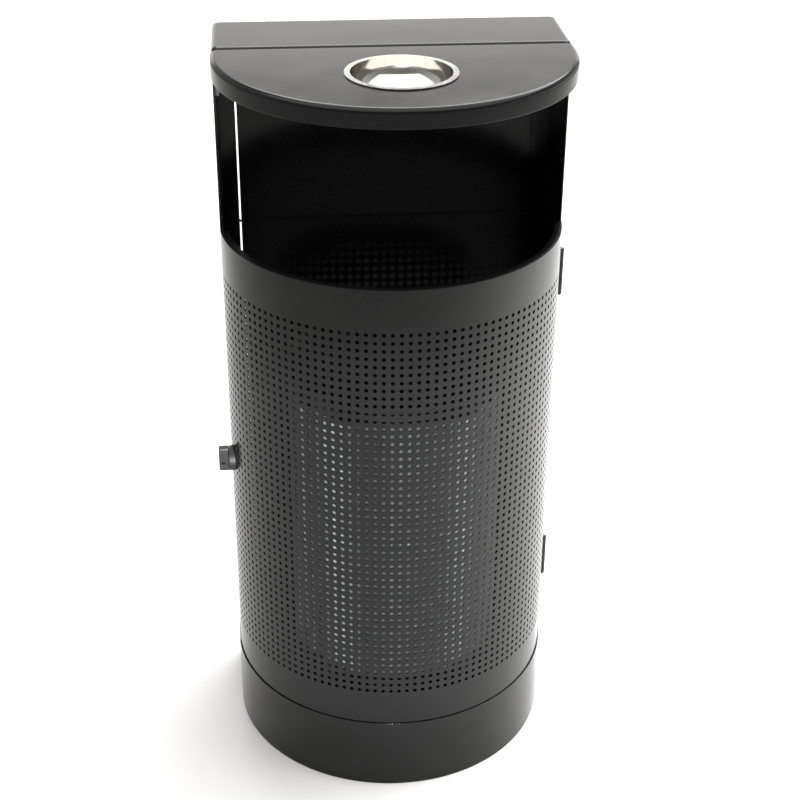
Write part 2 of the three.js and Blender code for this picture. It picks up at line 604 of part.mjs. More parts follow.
// Half-round wire lying to the rear at rest, with its two ends turned in through the ears.
function bailWire(face) {
  const steps = 32;
  const points = [];
  points.push(new THREE.Vector3(face + 0.5, LINER_Y, EAR_Z));
  for (let i = 0; i <= steps; i += 1) {
    const angle = Math.PI * (i / steps);
    const lift = Math.min(1, Math.sin(angle) * 6);
    points.push(new THREE.Vector3(
      (BAIL_RADIUS + 3) * Math.cos(angle), LINER_Y + 4 * lift + (BAIL_RADIUS - 4) * Math.sin(angle), EAR_Z));
  }
  points.push(new THREE.Vector3(-face - 0.5, LINER_Y, EAR_Z));
  const section = new THREE.Shape();
  section.absarc(0, 0, BAIL_WIRE, 0, Math.PI * 2, false);
  const path = new THREE.CatmullRomCurve3(points, false, 'centripetal');
  const geometry = new THREE.ExtrudeGeometry(section, { steps: 48, extrudePath: path, curveSegments: 4 });
  return toSolid(geometry);
}

// ---------------------------------------------------------------- assembly
buildPlinth();
buildSideWall('side_wall_left', -1);
buildSideWall('side_wall_right', 1);
buildBack();
buildHoods();
buildCapBracket('cap_bracket_left', -1);
buildCapBracket('cap_bracket_right', 1);
buildAshBowl();
buildLinerShelf();
buildBracketBolts('left', -1);
buildBracketBolts('right', 1);
buildDoor();
for (const [name, z] of Object.entries(HINGE_CENTRES)) buildHinge(name, z);
buildLatch();
buildStriker();
buildLiner();
buildBail();

export default bin;
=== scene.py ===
"""Half-round outdoor litter bin with an ash bowl: its looks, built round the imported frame."""

import logging
import math
from collections import Counter
from dataclasses import dataclass, field
from enum import Enum
from typing import Callable, Protocol, Sequence

import bmesh
import bpy
import numpy as np
from mathutils import Matrix, Vector


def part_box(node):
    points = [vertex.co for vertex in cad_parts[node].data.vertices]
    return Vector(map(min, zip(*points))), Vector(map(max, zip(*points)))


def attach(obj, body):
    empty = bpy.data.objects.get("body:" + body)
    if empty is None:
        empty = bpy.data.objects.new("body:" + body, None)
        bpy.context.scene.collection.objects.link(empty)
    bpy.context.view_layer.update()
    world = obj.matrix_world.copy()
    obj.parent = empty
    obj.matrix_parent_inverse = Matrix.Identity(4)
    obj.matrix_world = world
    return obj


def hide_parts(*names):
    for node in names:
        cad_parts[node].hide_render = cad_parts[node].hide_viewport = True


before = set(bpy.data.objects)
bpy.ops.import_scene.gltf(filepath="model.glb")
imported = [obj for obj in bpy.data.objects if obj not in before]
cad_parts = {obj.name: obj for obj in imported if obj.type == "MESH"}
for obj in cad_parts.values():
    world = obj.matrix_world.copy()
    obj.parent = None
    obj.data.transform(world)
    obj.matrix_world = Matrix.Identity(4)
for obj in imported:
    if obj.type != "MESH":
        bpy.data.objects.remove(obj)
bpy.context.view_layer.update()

log = logging.getLogger("litter_bin")

MM = 0.001
ROUND_SIDES = 128  # steps round a large round piece
BORE_SIDES = 24  # steps round a small hole, bolt or spindle
CORNER_STEPS = 6  # steps round a small corner
BORE_STEPS = 3  # steps round the latch's bore for each edge of the patch about it
NOISE_LOW, NOISE_HIGH = 0.3, 0.7  # nearly all of a noise pattern lies between these
SAME_POINT = 1e-6  # metres between points that are the same point
EDGE_DEGREES = 32.0  # a bend sharper than this is an edge, and gets broken
FLAT_DEGREES = 0.6  # faces that meet flatter than this become one
SEAM_WELD = 2e-5  # metres between points that are one point of the perforated sheet
QUARTER = math.pi / 2
UP = Vector((0, 0, 1))

Point2 = tuple[float, float]
Point3 = tuple[float, float, float]
Ring = list[Point3]


class Body(Enum):
    """The bodies that pieces ride on."""

    ROOT = "root"
    DOOR = "door"
    LATCH = "latch"
    ASH_BOWL = "ash_bowl"
    LINER = "liner"
    BAIL = "bail"


class Slot(Enum):
    """The record's material slots."""

    COAT = "charcoal_powder_coat"
    STAINLESS = "polished_stainless"
    GALVANISED = "galvanised_steel"
    ZINC = "zinc_plated_steel"
    NYLON = "black_nylon"
    RUBBER = "black_rubber_band"


# ---------------------------------------------------------------- nodes and colours
def linear(colour: str) -> tuple[float, float, float, float]:
    """Turn an sRGB hex colour to linear values.

    Args:
        colour: six hex digits, such as "2a2b2c".

    Returns:
        Red, green, blue and an alpha of 1.
    """
    shares = [int(colour[i:i + 2], 16) / 255 for i in (0, 2, 4)]
    red, green, blue = [s / 12.92 if s <= 0.04045 else ((s + 0.055) / 1.055) ** 2.4 for s in shares]
    return red, green, blue, 1.0


def add_node(
    tree: bpy.types.NodeTree, kind: str, inputs: dict | None = None, **settings: object
) -> bpy.types.Node:
    """Add one node, set it up and link it.

    Args:
        tree: the tree that gets the node.
        kind: the node's type name.
        inputs: values or sockets to put on its inputs, by name or number.
        settings: the node's own settings.

    Returns:
        The node.
    """
    node = tree.nodes.new(kind)
    for key, value in settings.items():
        setattr(node, key, value)
    for key, value in (inputs or {}).items():
        if isinstance(value, bpy.types.NodeSocket):
            tree.links.new(value, node.inputs[key])
        else:
            node.inputs[key].default_value = value
    return node


@dataclass(frozen=True)
class Gloss:
    """Roughness from low to high, as a pattern's values go from start to end."""

    pattern: bpy.types.NodeSocket
    low: float
    high: float
    start: float = NOISE_LOW
    end: float = NOISE_HIGH


class Surface:
    """A new material: its tree, its shader, and the place of each spot on the piece."""

    def __init__(self, name: str) -> None:
        """Start a material that holds only a shader and its output."""
        self.material = bpy.data.materials.new(name)
        self.material.use_nodes = True
        self.tree = self.material.node_tree
        self.tree.nodes.clear()
        self.shader = add_node(self.tree, "ShaderNodeBsdfPrincipled")
        add_node(self.tree, "ShaderNodeOutputMaterial", {"Surface": self.shader.outputs["BSDF"]})
        self.where = add_node(self.tree, "ShaderNodeTexCoord").outputs["Object"]

    def dress(
        self,
        share: bpy.types.NodeSocket,
        colours: tuple[str, str],
        plain: dict[str, float],
        gloss: Gloss | None = None,
        reliefs: Sequence[tuple[bpy.types.NodeSocket, float]] = (),
    ) -> bpy.types.Material:
        """Put the colour, the gloss and the relief on the shader.

        Args:
            share: how far the colour is from the first of the two to the second.
            colours: two sRGB hex colours.
            plain: values that are the same all over, by the name of the shader's socket.
            gloss: the roughness, where it varies.
            reliefs: height patterns and their depths in millimetres, the broadest first.

        Returns:
            The material.
        """
        first, second = [linear(colour) for colour in colours]
        blend = add_node(
            self.tree, "ShaderNodeMix", {0: share, 6: first, 7: second}, data_type="RGBA")
        patterns = {"Base Color": blend.outputs[2]}
        if gloss:
            level = add_node(self.tree, "ShaderNodeMapRange", {
                "Value": gloss.pattern, "From Min": gloss.start, "From Max": gloss.end,
                "To Min": gloss.low, "To Max": gloss.high})
            patterns["Roughness"] = level.outputs["Result"]
        under: dict[str, bpy.types.NodeSocket] = {}
        for height, depth_mm in reliefs:
            bump = add_node(self.tree, "ShaderNodeBump", {
                "Height": height, "Strength": 1.0, "Distance": depth_mm * MM, **under})
            under = {"Normal": bump.outputs["Normal"]}
        for name, socket in (patterns | under).items():
            self.tree.links.new(socket, self.shader.inputs[name])
        for name, value in plain.items():
            self.shader.inputs[name].default_value = value
        return self.material


class Finish(Protocol):
    """A surface finish that can make its own material."""

    def build(self) -> bpy.types.Material:
        """Make the material."""


@dataclass(frozen=True)
class PowderCoat:
    """Polyester powder coat, sprayed dry on sheet steel and baked."""

    name: str = "polyester_powder_coat"
    dark: str = "0d0d0e"
    light: str = "161617"
    roughness: float = 0.17
    roughness_swing: float = 0.04
    specular: float = 0.27
    peel_mm: float = 3.0
    peel_depth_mm: float = 0.008
    sag_mm: float = 80.0
    sag_depth_mm: float = 0.16
    patches_per_m: float = 9.0
    grains_per_m: float = 700.0

    def build(self) -> bpy.types.Material:
        """Make the material."""
        surface = Surface(self.name)
        tree, where = surface.tree, surface.where
        # Baked powder flows into shallow orange peel about 1.5 mm across; it is drawn at twice that
        # so that it shows. Rolled sheet also waves gently, which bends long reflections.
        peel = add_node(tree, "ShaderNodeTexNoise", {
            "Vector": where, "Scale": 1 / (self.peel_mm * MM), "Detail": 2.0})
        wave = add_node(tree, "ShaderNodeTexNoise", {
            "Vector": where, "Scale": 1 / (self.sag_mm * MM), "Detail": 1.0})
        # Handling leaves the gloss a little uneven over patches the size of a hand.
        patch = add_node(tree, "ShaderNodeTexNoise", {
            "Vector": where, "Scale": self.patches_per_m, "Detail": 4.0, "Roughness": 0.6})
        # The powder's own grains differ a little in tone.
        grain = add_node(tree, "ShaderNodeTexNoise", {
            "Vector": where, "Scale": self.grains_per_m, "Detail": 2.0})
        tint = add_node(tree, "ShaderNodeMapRange", {
            "Value": grain.outputs["Fac"], "From Min": 0.35, "From Max": 0.65})
        swing = self.roughness_swing
        return surface.dress(
            tint.outputs["Result"], (self.dark, self.light), {"Specular IOR Level": self.specular},
            Gloss(patch.outputs["Fac"], self.roughness - swing, self.roughness + swing),
            [(wave.outputs["Fac"], self.sag_depth_mm), (peel.outputs["Fac"], self.peel_depth_mm)])


@dataclass(frozen=True)
class PolishedStainless:
    """Austenitic stainless steel, spun to shape and buffed on the lathe."""

    centre_mm: Point3
    name: str = "spun_stainless_steel"
    light: str = "e9e6e1"
    dark: str = "d3cfc8"
    roughness_low: float = 0.07
    roughness_high: float = 0.17
    ring_mm: float = 0.9
    ring_depth_mm: float = 0.004
    smears_per_m: float = 45.0

    def build(self) -> bpy.types.Material:
        """Make the material."""
        surface = Surface(self.name)
        tree = surface.tree
        # Buffing on the lathe leaves rings about the bowl's own axis, finer than they are drawn.
        centred = add_node(tree, "ShaderNodeMapping", {
            "Vector": surface.where, "Location": tuple(-c * MM for c in self.centre_mm)})
        split = add_node(tree, "ShaderNodeSeparateXYZ", {"Vector": centred.outputs["Vector"]})
        flat = add_node(tree, "ShaderNodeCombineXYZ", {
            "X": split.outputs["X"], "Y": split.outputs["Y"]})
        reach = add_node(
            tree, "ShaderNodeVectorMath", {0: flat.outputs["Vector"]}, operation="LENGTH")
        profile = add_node(tree, "ShaderNodeCombineXYZ", {
            "X": reach.outputs["Value"], "Z": split.outputs["Z"]})
        rings = add_node(tree, "ShaderNodeTexNoise", {
            "Vector": profile.outputs["Vector"], "Scale": 1 / (self.ring_mm * MM), "Detail": 3.0})
        # Fingers and ash dull the polish in soft smears.
        smear = add_node(tree, "ShaderNodeTexNoise", {
            "Vector": surface.where, "Scale": self.smears_per_m, "Detail": 5.0,
            "Roughness": 0.65, "Distortion": 0.8}).outputs["Fac"]
        return surface.dress(
            smear, (self.light, self.dark), {"Metallic": 1.0},
            Gloss(smear, self.roughness_low, self.roughness_high, start=0.35),
            [(rings.outputs["Fac"], self.ring_depth_mm)])


@dataclass(frozen=True)
class HotDipGalvanised:
    """Hot-dip galvanised sheet, rolled and seamed."""

    name: str = "hot_dip_galvanised_steel"
    dark: str = "c6cacc"
    light: str = "eceeef"
    roughness_low: float = 0.48
    roughness_high: float = 0.66
    spangle_mm: float = 9.0
    ripples_per_m: float = 60.0
    ripple_depth_mm: float = 0.05

    def build(self) -> bpy.types.Material:
        """Make the material."""
        surface = Surface(self.name)
        tree, where = surface.tree, surface.where
        # The zinc freezes into crystals about 9 mm across, each with its own brightness.
        crystal = add_node(tree, "ShaderNodeTexVoronoi", {
            "Vector": where, "Scale": 1 / (self.spangle_mm * MM)})
        tone = add_node(tree, "ShaderNodeSeparateColor", {"Color": crystal.outputs["Color"]})
        ripple = add_node(tree, "ShaderNodeTexNoise", {
            "Vector": where, "Scale": self.ripples_per_m, "Detail": 4.0})
        return surface.dress(
            tone.outputs["Red"], (self.dark, self.light), {"Metallic": 1.0},
            Gloss(tone.outputs["Green"], self.roughness_low, self.roughness_high, 0.0, 1.0),
            [(ripple.outputs["Fac"], self.ripple_depth_mm)])


@dataclass(frozen=True)
class ZincPlate:
    """Zinc electroplate with a passivate, on fasteners and hinges."""

    name: str = "zinc_electroplate"
    blue: str = "8f949c"
    straw: str = "9c968a"
    roughness_low: float = 0.25
    roughness_high: float = 0.42
    drifts_per_m: float = 80.0
    grains_per_m: float = 900.0
    grain_depth_mm: float = 0.01

    def build(self) -> bpy.types.Material:
        """Make the material."""
        surface = Surface(self.name)
        tree, where = surface.tree, surface.where
        # Passivate shifts between faint blue and straw, and the drawn grain shows through plating.
        drift = add_node(tree, "ShaderNodeTexNoise", {
            "Vector": where, "Scale": self.drifts_per_m, "Detail": 3.0})
        grain = add_node(tree, "ShaderNodeTexNoise", {
            "Vector": where, "Scale": self.grains_per_m, "Detail": 2.0}).outputs["Fac"]
        return surface.dress(
            drift.outputs["Fac"], (self.blue, self.straw), {"Metallic": 1.0},
            Gloss(grain, self.roughness_low, self.roughness_high), [(grain, self.grain_depth_mm)])


@dataclass(frozen=True)
class TexturedPolymer:
    """A dark polymer with a grain: glass-filled nylon, EPDM rubber, or the dark coat inside the liner,
    which is painted shade.
    """

    name: str
    dark: str
    light: str
    roughness: float
    grain_mm: float
    grain_depth_mm: float
    roughness_swing: float = 0.06
    clouds_per_m: float = 120.0

    def build(self) -> bpy.types.Material:
        """Make the material."""
        surface = Surface(self.name)
        tree, where = surface.tree, surface.where
        # The grain scatters highlights, and the skin varies a little in tone and gloss.
        grain = add_node(tree, "ShaderNodeTexNoise", {
            "Vector": where, "Scale": 1 / (self.grain_mm * MM), "Detail": 3.0})
        cloud = add_node(tree, "ShaderNodeTexNoise", {
            "Vector": where, "Scale": self.clouds_per_m, "Detail": 3.0}).outputs["Fac"]
        swing = self.roughness_swing
        return surface.dress(
            cloud, (self.dark, self.light), {},
            Gloss(cloud, self.roughness - swing, self.roughness + swing),
            [(grain.outputs["Fac"], self.grain_depth_mm)])


@dataclass(frozen=True)
class StudioPaint:
    """Matt white paint on the studio floor."""

    name: str = "matt_white_floor_paint"
    light: str = "f4f4f2"
    dark: str = "eeeeec"
    roughness: float = 0.8
    specular: float = 0.2
    clouds_per_m: float = 2.0

    def build(self) -> bpy.types.Material:
        """Make the material."""
        surface = Surface(self.name)
        # Rolled paint dries a shade darker here and there.
        cloud = add_node(surface.tree, "ShaderNodeTexNoise", {
            "Vector": surface.where, "Scale": self.clouds_per_m, "Detail": 3.0})
        return surface.dress(
            cloud.outputs["Fac"], (self.light, self.dark),
            {"Roughness": self.roughness, "Specular IOR Level": self.specular})


class Palette:
    """The materials, one for each slot."""

    def __init__(self, finishes: dict[Slot, Finish]) -> None:
        """Make each slot's material once."""
        self.materials = {slot: finish.build() for slot, finish in finishes.items()}

    def __getitem__(self, slot: Slot) -> bpy.types.Material:
        """Return a slot's material."""
        return self.materials[slot]


# ---------------------------------------------------------------- meshes
def show(name: str, data: bpy.types.ID) -> bpy.types.Object:
    """Return a new object that holds the data, linked to the scene."""
    thing = bpy.data.objects.new(name, data)
    bpy.context.scene.collection.objects.link(thing)
    return thing


def as_drawn(name: str, skin: bmesh.types.BMesh) -> bpy.types.Object:
    """Turn a bmesh into an object just as it is, and free it."""
    mesh = bpy.data.meshes.new(name)
    skin.to_mesh(mesh)
    skin.free()
    return show(name, mesh)


def new_piece(name: str, skin: bmesh.types.BMesh) -> bpy.types.Object:
    """Turn a closed bmesh into an object with its faces outwards.

    Args:
        name: the object's name.
        skin: the mesh, in metres; it is freed.

    Returns:
        The object, linked to the scene.
    """
    if skin.calc_volume(signed=True) < 0:
        bmesh.ops.reverse_faces(skin, faces=skin.faces)
    for face in skin.faces:
        face.smooth = True
    return as_drawn(name, skin)


def from_rings(name: str, rings: Sequence[Ring], closed: bool = False) -> bpy.types.Object:
    """Stretch a skin over rings that all hold the same number of points.

    Args:
        name: the object's name.
        rings: rings of points in millimetres.
        closed: joins the last ring to the first; otherwise both end rings are filled.

    Returns:
        The object.
    """
    skin = bmesh.new()
    rows = [[skin.verts.new(Vector(point) * MM) for point in ring] for ring in rings]
    pairs = list(zip(rows, rows[1:]))
    if closed:
        pairs.append((rows[-1], rows[0]))
    for low, high in pairs:
        for i, start in enumerate(low):
            j = (i + 1) % len(low)
            skin.faces.new((start, low[j], high[j], high[i]))
    if not closed:
        for row, turned in ((rows[0], True), (rows[-1], False)):
            spread = max((v.co - row[0].co).length for v in row)
            if spread > SAME_POINT:
                skin.faces.new(row[::-1] if turned else row)
    bmesh.ops.remove_doubles(skin, verts=skin.verts, dist=SAME_POINT / 10)
    return new_piece(name, skin)


def turns_of(sides: int) -> list[float]:
    """Return the angles of evenly spaced points round a full turn."""
    return [2 * math.pi * i / sides for i in range(sides)]


def circle(radius: float, height: float, centre: Point2, sides: int) -> Ring:
    """Return a level ring of points about a centre."""
    return [(centre[0] + radius * math.cos(t), centre[1] + radius * math.sin(t), height)
            for t in turns_of(sides)]


def turned(
    name: str,
    profile: Sequence[Point2],
    centre: Point2,
    sides: int = ROUND_SIDES,
    ring: bool = False,
) -> bpy.types.Object:
    """Turn a profile of radius and height about an upright axis.

    Args:
        name: the object's name.
        profile: radius and height pairs in millimetres.
        centre: the axis in plan.
        sides: steps round the axis.
        ring: True where the profile is a closed loop clear of the axis.

    Returns:
        The object.
    """
    return from_rings(name, [circle(r, z, centre, sides) for r, z in profile], closed=ring)


def rod(name: str, radius: float, start: Point3, end: Point3) -> bpy.types.Object:
    """Return a round bar between two points."""
    a, b = Vector(start), Vector(end)
    along = (b - a).normalized()
    across = along.orthogonal().normalized()
    other = along.cross(across)
    around = [radius * (math.cos(t) * across + math.sin(t) * other) for t in turns_of(BORE_SIDES)]
    return from_rings(name, [[tuple(middle + step) for step in around] for middle in (a, b)])


def plain_mesh(piece: bpy.types.Object) -> None:
    """Put the evaluated mesh in place of the piece's own, and drop its modifiers."""
    depsgraph = bpy.context.evaluated_depsgraph_get()
    depsgraph.update()
    mesh = bpy.data.meshes.new_from_object(
        piece.evaluated_get(depsgraph), preserve_all_data_layers=True, depsgraph=depsgraph)
    before = piece.data
    piece.modifiers.clear()
    piece.data = mesh
    mesh.name = piece.name
    bpy.data.meshes.remove(before)


def refine(
    piece: bpy.types.Object,
    edge_mm: float,
    cuts: Sequence[bpy.types.Object] = (),
    joins: Sequence[bpy.types.Object] = (),
    segments: int = 2,
) -> bpy.types.Object:
    """Cut and join a piece, break its edges and even out its shading.

    Args:
        piece: the piece.
        edge_mm: width of the broken edges; 0 leaves them sharp.
        cuts: solids to take away; they are used up.
        joins: solids to add; they are used up.
        segments: steps across a broken edge.

    Returns:
        The piece, with a plain mesh.
    """
    for operation, tools in (("UNION", joins), ("DIFFERENCE", cuts)):
        for tool in tools:
            modifier = piece.modifiers.new(operation.lower(), "BOOLEAN")
            modifier.operation = operation
            modifier.solver = "EXACT"
            modifier.object = tool
    if edge_mm:
        edges = piece.modifiers.new("broken_edges", "BEVEL")
        edges.width = edge_mm * MM
        edges.segments = segments
        edges.limit_method = "ANGLE"
        edges.angle_limit = math.radians(EDGE_DEGREES)
        edges.use_clamp_overlap = True
    shading = piece.modifiers.new("even_shading", "WEIGHTED_NORMAL")
    shading.mode = "FACE_AREA"
    shading.keep_sharp = False
    plain_mesh(piece)
    for tool in (*cuts, *joins):
        mesh = tool.data
        bpy.data.objects.remove(tool)
        bpy.data.meshes.remove(mesh)
    return piece


def edged_copy(node: str, edge_mm: float) -> bpy.types.Object:
    """Copy a CAD node as clean faces and break its edges, as a real folded or sawn piece has them.

    Args:
        node: the CAD node's name.
        edge_mm: width of the broken edges.

    Returns:
        The new piece, named for the node.
    """
    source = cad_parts[node]
    skin = bmesh.new()
    skin.from_mesh(source.data)
    skin.transform(source.matrix_world)
    bmesh.ops.remove_doubles(skin, verts=skin.verts, dist=2 * SAME_POINT)
    bmesh.ops.dissolve_limit(
        skin, angle_limit=math.radians(FLAT_DEGREES), verts=skin.verts, edges=skin.edges)
    return refine(new_piece(f"{node}_edged", skin), edge_mm)


# ---------------------------------------------------------------- geometry nodes
def new_geometry_tree(name: str, sizes: dict[str, str]) -> bpy.types.NodeTree:
    """Start a Geometry Nodes tree with named inputs.

    Args:
        name: the tree's name.
        sizes: each input's name and socket type.

    Returns:
        The tree, with a geometry input and output.
    """
    tree = bpy.data.node_groups.new(name, "GeometryNodeTree")
    tree.interface.new_socket("Geometry", in_out="INPUT", socket_type="NodeSocketGeometry")
    for label, kind in sizes.items():
        tree.interface.new_socket(label, in_out="INPUT", socket_type=kind)
    tree.interface.new_socket("Geometry", in_out="OUTPUT", socket_type="NodeSocketGeometry")
    return tree


def run_tree(piece: bpy.types.Object, tree: bpy.types.NodeTree, values: dict[str, object]) -> None:
    """Run a tree on a piece with its inputs set, and keep only the plain mesh."""
    modifier = piece.modifiers.new(tree.name, "NODES")
    modifier.node_group = tree
    for item in tree.interface.items_tree:
        if item.item_type == "SOCKET" and item.in_out == "INPUT" and item.name in values:
            modifier[item.identifier] = values[item.name]
    plain_mesh(piece)


def perforation_tree() -> bpy.types.NodeTree:
    """Build the tree that punches a field of round holes, joins it to the plain sheet and rolls it.

    Returns:
        The tree. The sheet is drawn flat: X round the roll, Y through the thickness, Z up.
    """
    number, whole = "NodeSocketFloat", "NodeSocketInt"
    tree = new_geometry_tree("punched_and_rolled_sheet", {
        "Pitch": number, "Columns": whole, "Rows": whole, "Hole Radius": number, "Hole Sides": whole,
        "Thickness": number, "Field Height": number, "Plain Beyond": number, "Plain Low": number,
        "Plain High": number, "Roll Radius": number, "Roll Centre": number,
        "Finish": "NodeSocketMaterial"})
    given = add_node(tree, "NodeGroupInput").outputs

    def maths(operation: str, a: object, b: object = 0.0) -> bpy.types.NodeSocket:
        """Return the result of one sum."""
        return add_node(tree, "ShaderNodeMath", {0: a, 1: b}, operation=operation).outputs["Value"]

    def moved(shape: bpy.types.NodeSocket, **how: object) -> bpy.types.NodeSocket:
        """Return the shape, moved or turned."""
        return add_node(tree, "GeometryNodeTransform", {"Geometry": shape, **how}).outputs["Geometry"]

    # One cell: a square with a round hole on both faces, and the wall of the hole between them.
    square = add_node(tree, "GeometryNodeCurvePrimitiveQuadrilateral", {
        "Width": given["Pitch"], "Height": given["Pitch"]})
    hole = add_node(tree, "GeometryNodeCurvePrimitiveCircle", {
        "Resolution": given["Hole Sides"], "Radius": given["Hole Radius"]})
    outline = add_node(tree, "GeometryNodeJoinGeometry", {"Geometry": square.outputs["Curve"]})
    tree.links.new(hole.outputs["Curve"], outline.inputs["Geometry"])
    face = add_node(
        tree, "GeometryNodeFillCurve", {"Curve": outline.outputs["Geometry"]}, mode="TRIANGLES")
    depth = maths("MULTIPLY", given["Thickness"], -1.0)
    middle = maths("MULTIPLY", given["Thickness"], -0.5)
    below = add_node(tree, "ShaderNodeCombineXYZ", {"Z": depth})
    halfway = add_node(tree, "ShaderNodeCombineXYZ", {"Z": middle})
    back = add_node(tree, "GeometryNodeFlipFaces", {
        "Mesh": moved(face.outputs["Mesh"], Translation=below.outputs["Vector"])})
    tube = add_node(tree, "GeometryNodeMeshCylinder", {
        "Vertices": given["Hole Sides"], "Radius": given["Hole Radius"], "Depth": given["Thickness"]},
        fill_type="NONE")
    wall = add_node(tree, "GeometryNodeFlipFaces", {
        "Mesh": moved(tube.outputs["Mesh"], Translation=halfway.outputs["Vector"])})
    cell = add_node(tree, "GeometryNodeJoinGeometry", {"Geometry": face.outputs["Mesh"]})
    tree.links.new(back.outputs["Mesh"], cell.inputs["Geometry"])
    tree.links.new(wall.outputs["Mesh"], cell.inputs["Geometry"])

    # The field of cells, stood upright, less the few cells that stay plain round the latch.
    width = maths("MULTIPLY", given["Pitch"], maths("SUBTRACT", given["Columns"], 1.0))
    height = maths("MULTIPLY", given["Pitch"], maths("SUBTRACT", given["Rows"], 1.0))
    grid = add_node(tree, "GeometryNodeMeshGrid", {
        "Size X": width, "Size Y": height,
        "Vertices X": given["Columns"], "Vertices Y": given["Rows"]})
    spot = add_node(tree, "ShaderNodeSeparateXYZ", {
        "Vector": add_node(tree, "GeometryNodeInputPosition").outputs["Position"]})
    level = maths("ADD", spot.outputs["Y"], given["Field Height"])
    beyond = maths("LESS_THAN", spot.outputs["X"], given["Plain Beyond"])
    above = maths("GREATER_THAN", level, given["Plain Low"])
    under = maths("LESS_THAN", level, given["Plain High"])
    plain = maths("MULTIPLY", maths("MULTIPLY", beyond, above), under)
    kept = add_node(tree, "GeometryNodeDeleteGeometry", {
        "Geometry": grid.outputs["Mesh"], "Selection": plain})
    field_cells = add_node(tree, "GeometryNodeInstanceOnPoints", {
        "Points": kept.outputs["Geometry"], "Instance": cell.outputs["Geometry"]})
    real = add_node(tree, "GeometryNodeRealizeInstances", {
        "Geometry": field_cells.outputs["Instances"]})
    lift = add_node(tree, "ShaderNodeCombineXYZ", {"Z": given["Field Height"]})
    upright = moved(real.outputs["Geometry"], Rotation=(math.pi / 2, 0.0, 0.0),
                    Translation=lift.outputs["Vector"])
    sheet = add_node(tree, "GeometryNodeJoinGeometry", {"Geometry": given["Geometry"]})
    tree.links.new(upright, sheet.inputs["Geometry"])
    welded = add_node(tree, "GeometryNodeMergeByDistance", {
        "Geometry": sheet.outputs["Geometry"], "Distance": SEAM_WELD})

    # Rolling: distance along the sheet becomes an angle, and depth becomes a smaller radius.
    flat = add_node(tree, "ShaderNodeSeparateXYZ", {
        "Vector": add_node(tree, "GeometryNodeInputPosition").outputs["Position"]})
    angle = maths("DIVIDE", flat.outputs["X"], given["Roll Radius"])
    radius = maths("SUBTRACT", given["Roll Radius"], flat.outputs["Y"])
    across = maths("MULTIPLY", radius, maths("SINE", angle))
    along = maths("SUBTRACT", given["Roll Centre"], maths("MULTIPLY", radius, maths("COSINE", angle)))
    rolled = add_node(tree, "ShaderNodeCombineXYZ", {"X": across, "Y": along, "Z": flat.outputs["Z"]})
    shaped = add_node(tree, "GeometryNodeSetPosition", {
        "Geometry": welded.outputs["Geometry"], "Position": rolled.outputs["Vector"]})
    coated = add_node(tree, "GeometryNodeSetMaterial", {
        "Geometry": shaped.outputs["Geometry"], "Material": given["Finish"]})
    add_node(tree, "NodeGroupOutput", {"Geometry": coated.outputs["Geometry"]})
    return tree


def rivet_tree() -> bpy.types.NodeTree:
    """Build the tree that sets a blind rivet's head on each point, along the point's normal.

    Returns:
        The tree. Each head is a low dome with the stub of its mandrel in the middle.
    """
    number = "NodeSocketFloat"
    tree = new_geometry_tree("blind_rivets", {
        "Head Radius": number, "Head Height": number, "Mandrel Radius": number,
        "Mandrel Sides": "NodeSocketInt", "Mandrel Lift": number, "Finish": "NodeSocketMaterial"})
    given = add_node(tree, "NodeGroupInput").outputs
    dome = add_node(tree, "GeometryNodeMeshUVSphere", {
        "Segments": 20, "Rings": 10, "Radius": given["Head Radius"]})
    share = add_node(tree, "ShaderNodeMath", {
        0: given["Head Height"], 1: given["Head Radius"]}, operation="DIVIDE")
    squash = add_node(tree, "ShaderNodeCombineXYZ", {"X": 1.0, "Y": 1.0, "Z": share.outputs["Value"]})
    flat = add_node(tree, "GeometryNodeTransform", {
        "Geometry": dome.outputs["Mesh"], "Scale": squash.outputs["Vector"]})
    stub = add_node(tree, "GeometryNodeMeshCylinder", {
        "Vertices": given["Mandrel Sides"], "Radius": given["Mandrel Radius"],
        "Depth": given["Head Height"]})
    rise = add_node(tree, "ShaderNodeCombineXYZ", {"Z": given["Mandrel Lift"]})
    raised = add_node(tree, "GeometryNodeTransform", {
        "Geometry": stub.outputs["Mesh"], "Translation": rise.outputs["Vector"]})
    head = add_node(tree, "GeometryNodeJoinGeometry", {"Geometry": flat.outputs["Geometry"]})
    tree.links.new(raised.outputs["Geometry"], head.inputs["Geometry"])
    # Each small face's own direction is kept with it, and its head is turned that way.
    held = add_node(
        tree, "GeometryNodeCaptureAttribute", {"Geometry": given["Geometry"]}, domain="FACE")
    held.capture_items.new("VECTOR", "facing")
    normal = add_node(tree, "GeometryNodeInputNormal")
    tree.links.new(normal.outputs["Normal"], held.inputs["facing"])
    points = add_node(
        tree, "GeometryNodeMeshToPoints", {"Mesh": held.outputs["Geometry"]}, mode="FACES")
    turn = add_node(
        tree, "FunctionNodeAlignRotationToVector", {"Vector": held.outputs["facing"]}, axis="Z")
    heads = add_node(tree, "GeometryNodeInstanceOnPoints", {
        "Points": points.outputs["Points"], "Instance": head.outputs["Geometry"],
        "Rotation": turn.outputs["Rotation"]})
    real = add_node(tree, "GeometryNodeRealizeInstances", {"Geometry": heads.outputs["Instances"]})
    done = add_node(tree, "GeometryNodeSetMaterial", {
        "Geometry": real.outputs["Geometry"], "Material": given["Finish"]})
    add_node(tree, "NodeGroupOutput", {"Geometry": done.outputs["Geometry"]})
    return tree


# ---------------------------------------------------------------- plan outlines
def arc(centre: Point2, radius: float, start: float, end: float, steps: int) -> list[Point2]:
    """Return points on an arc, both ends included."""
    angles = [start + (end - start) * i / steps for i in range(steps + 1)]
    return [(centre[0] + radius * math.cos(a), centre[1] + radius * math.sin(a)) for a in angles]


def at_height(outline: Sequence[Point2], height: float) -> Ring:
    """Lift a plan outline to a height."""
    return [(x, y, height) for x, y in outline]


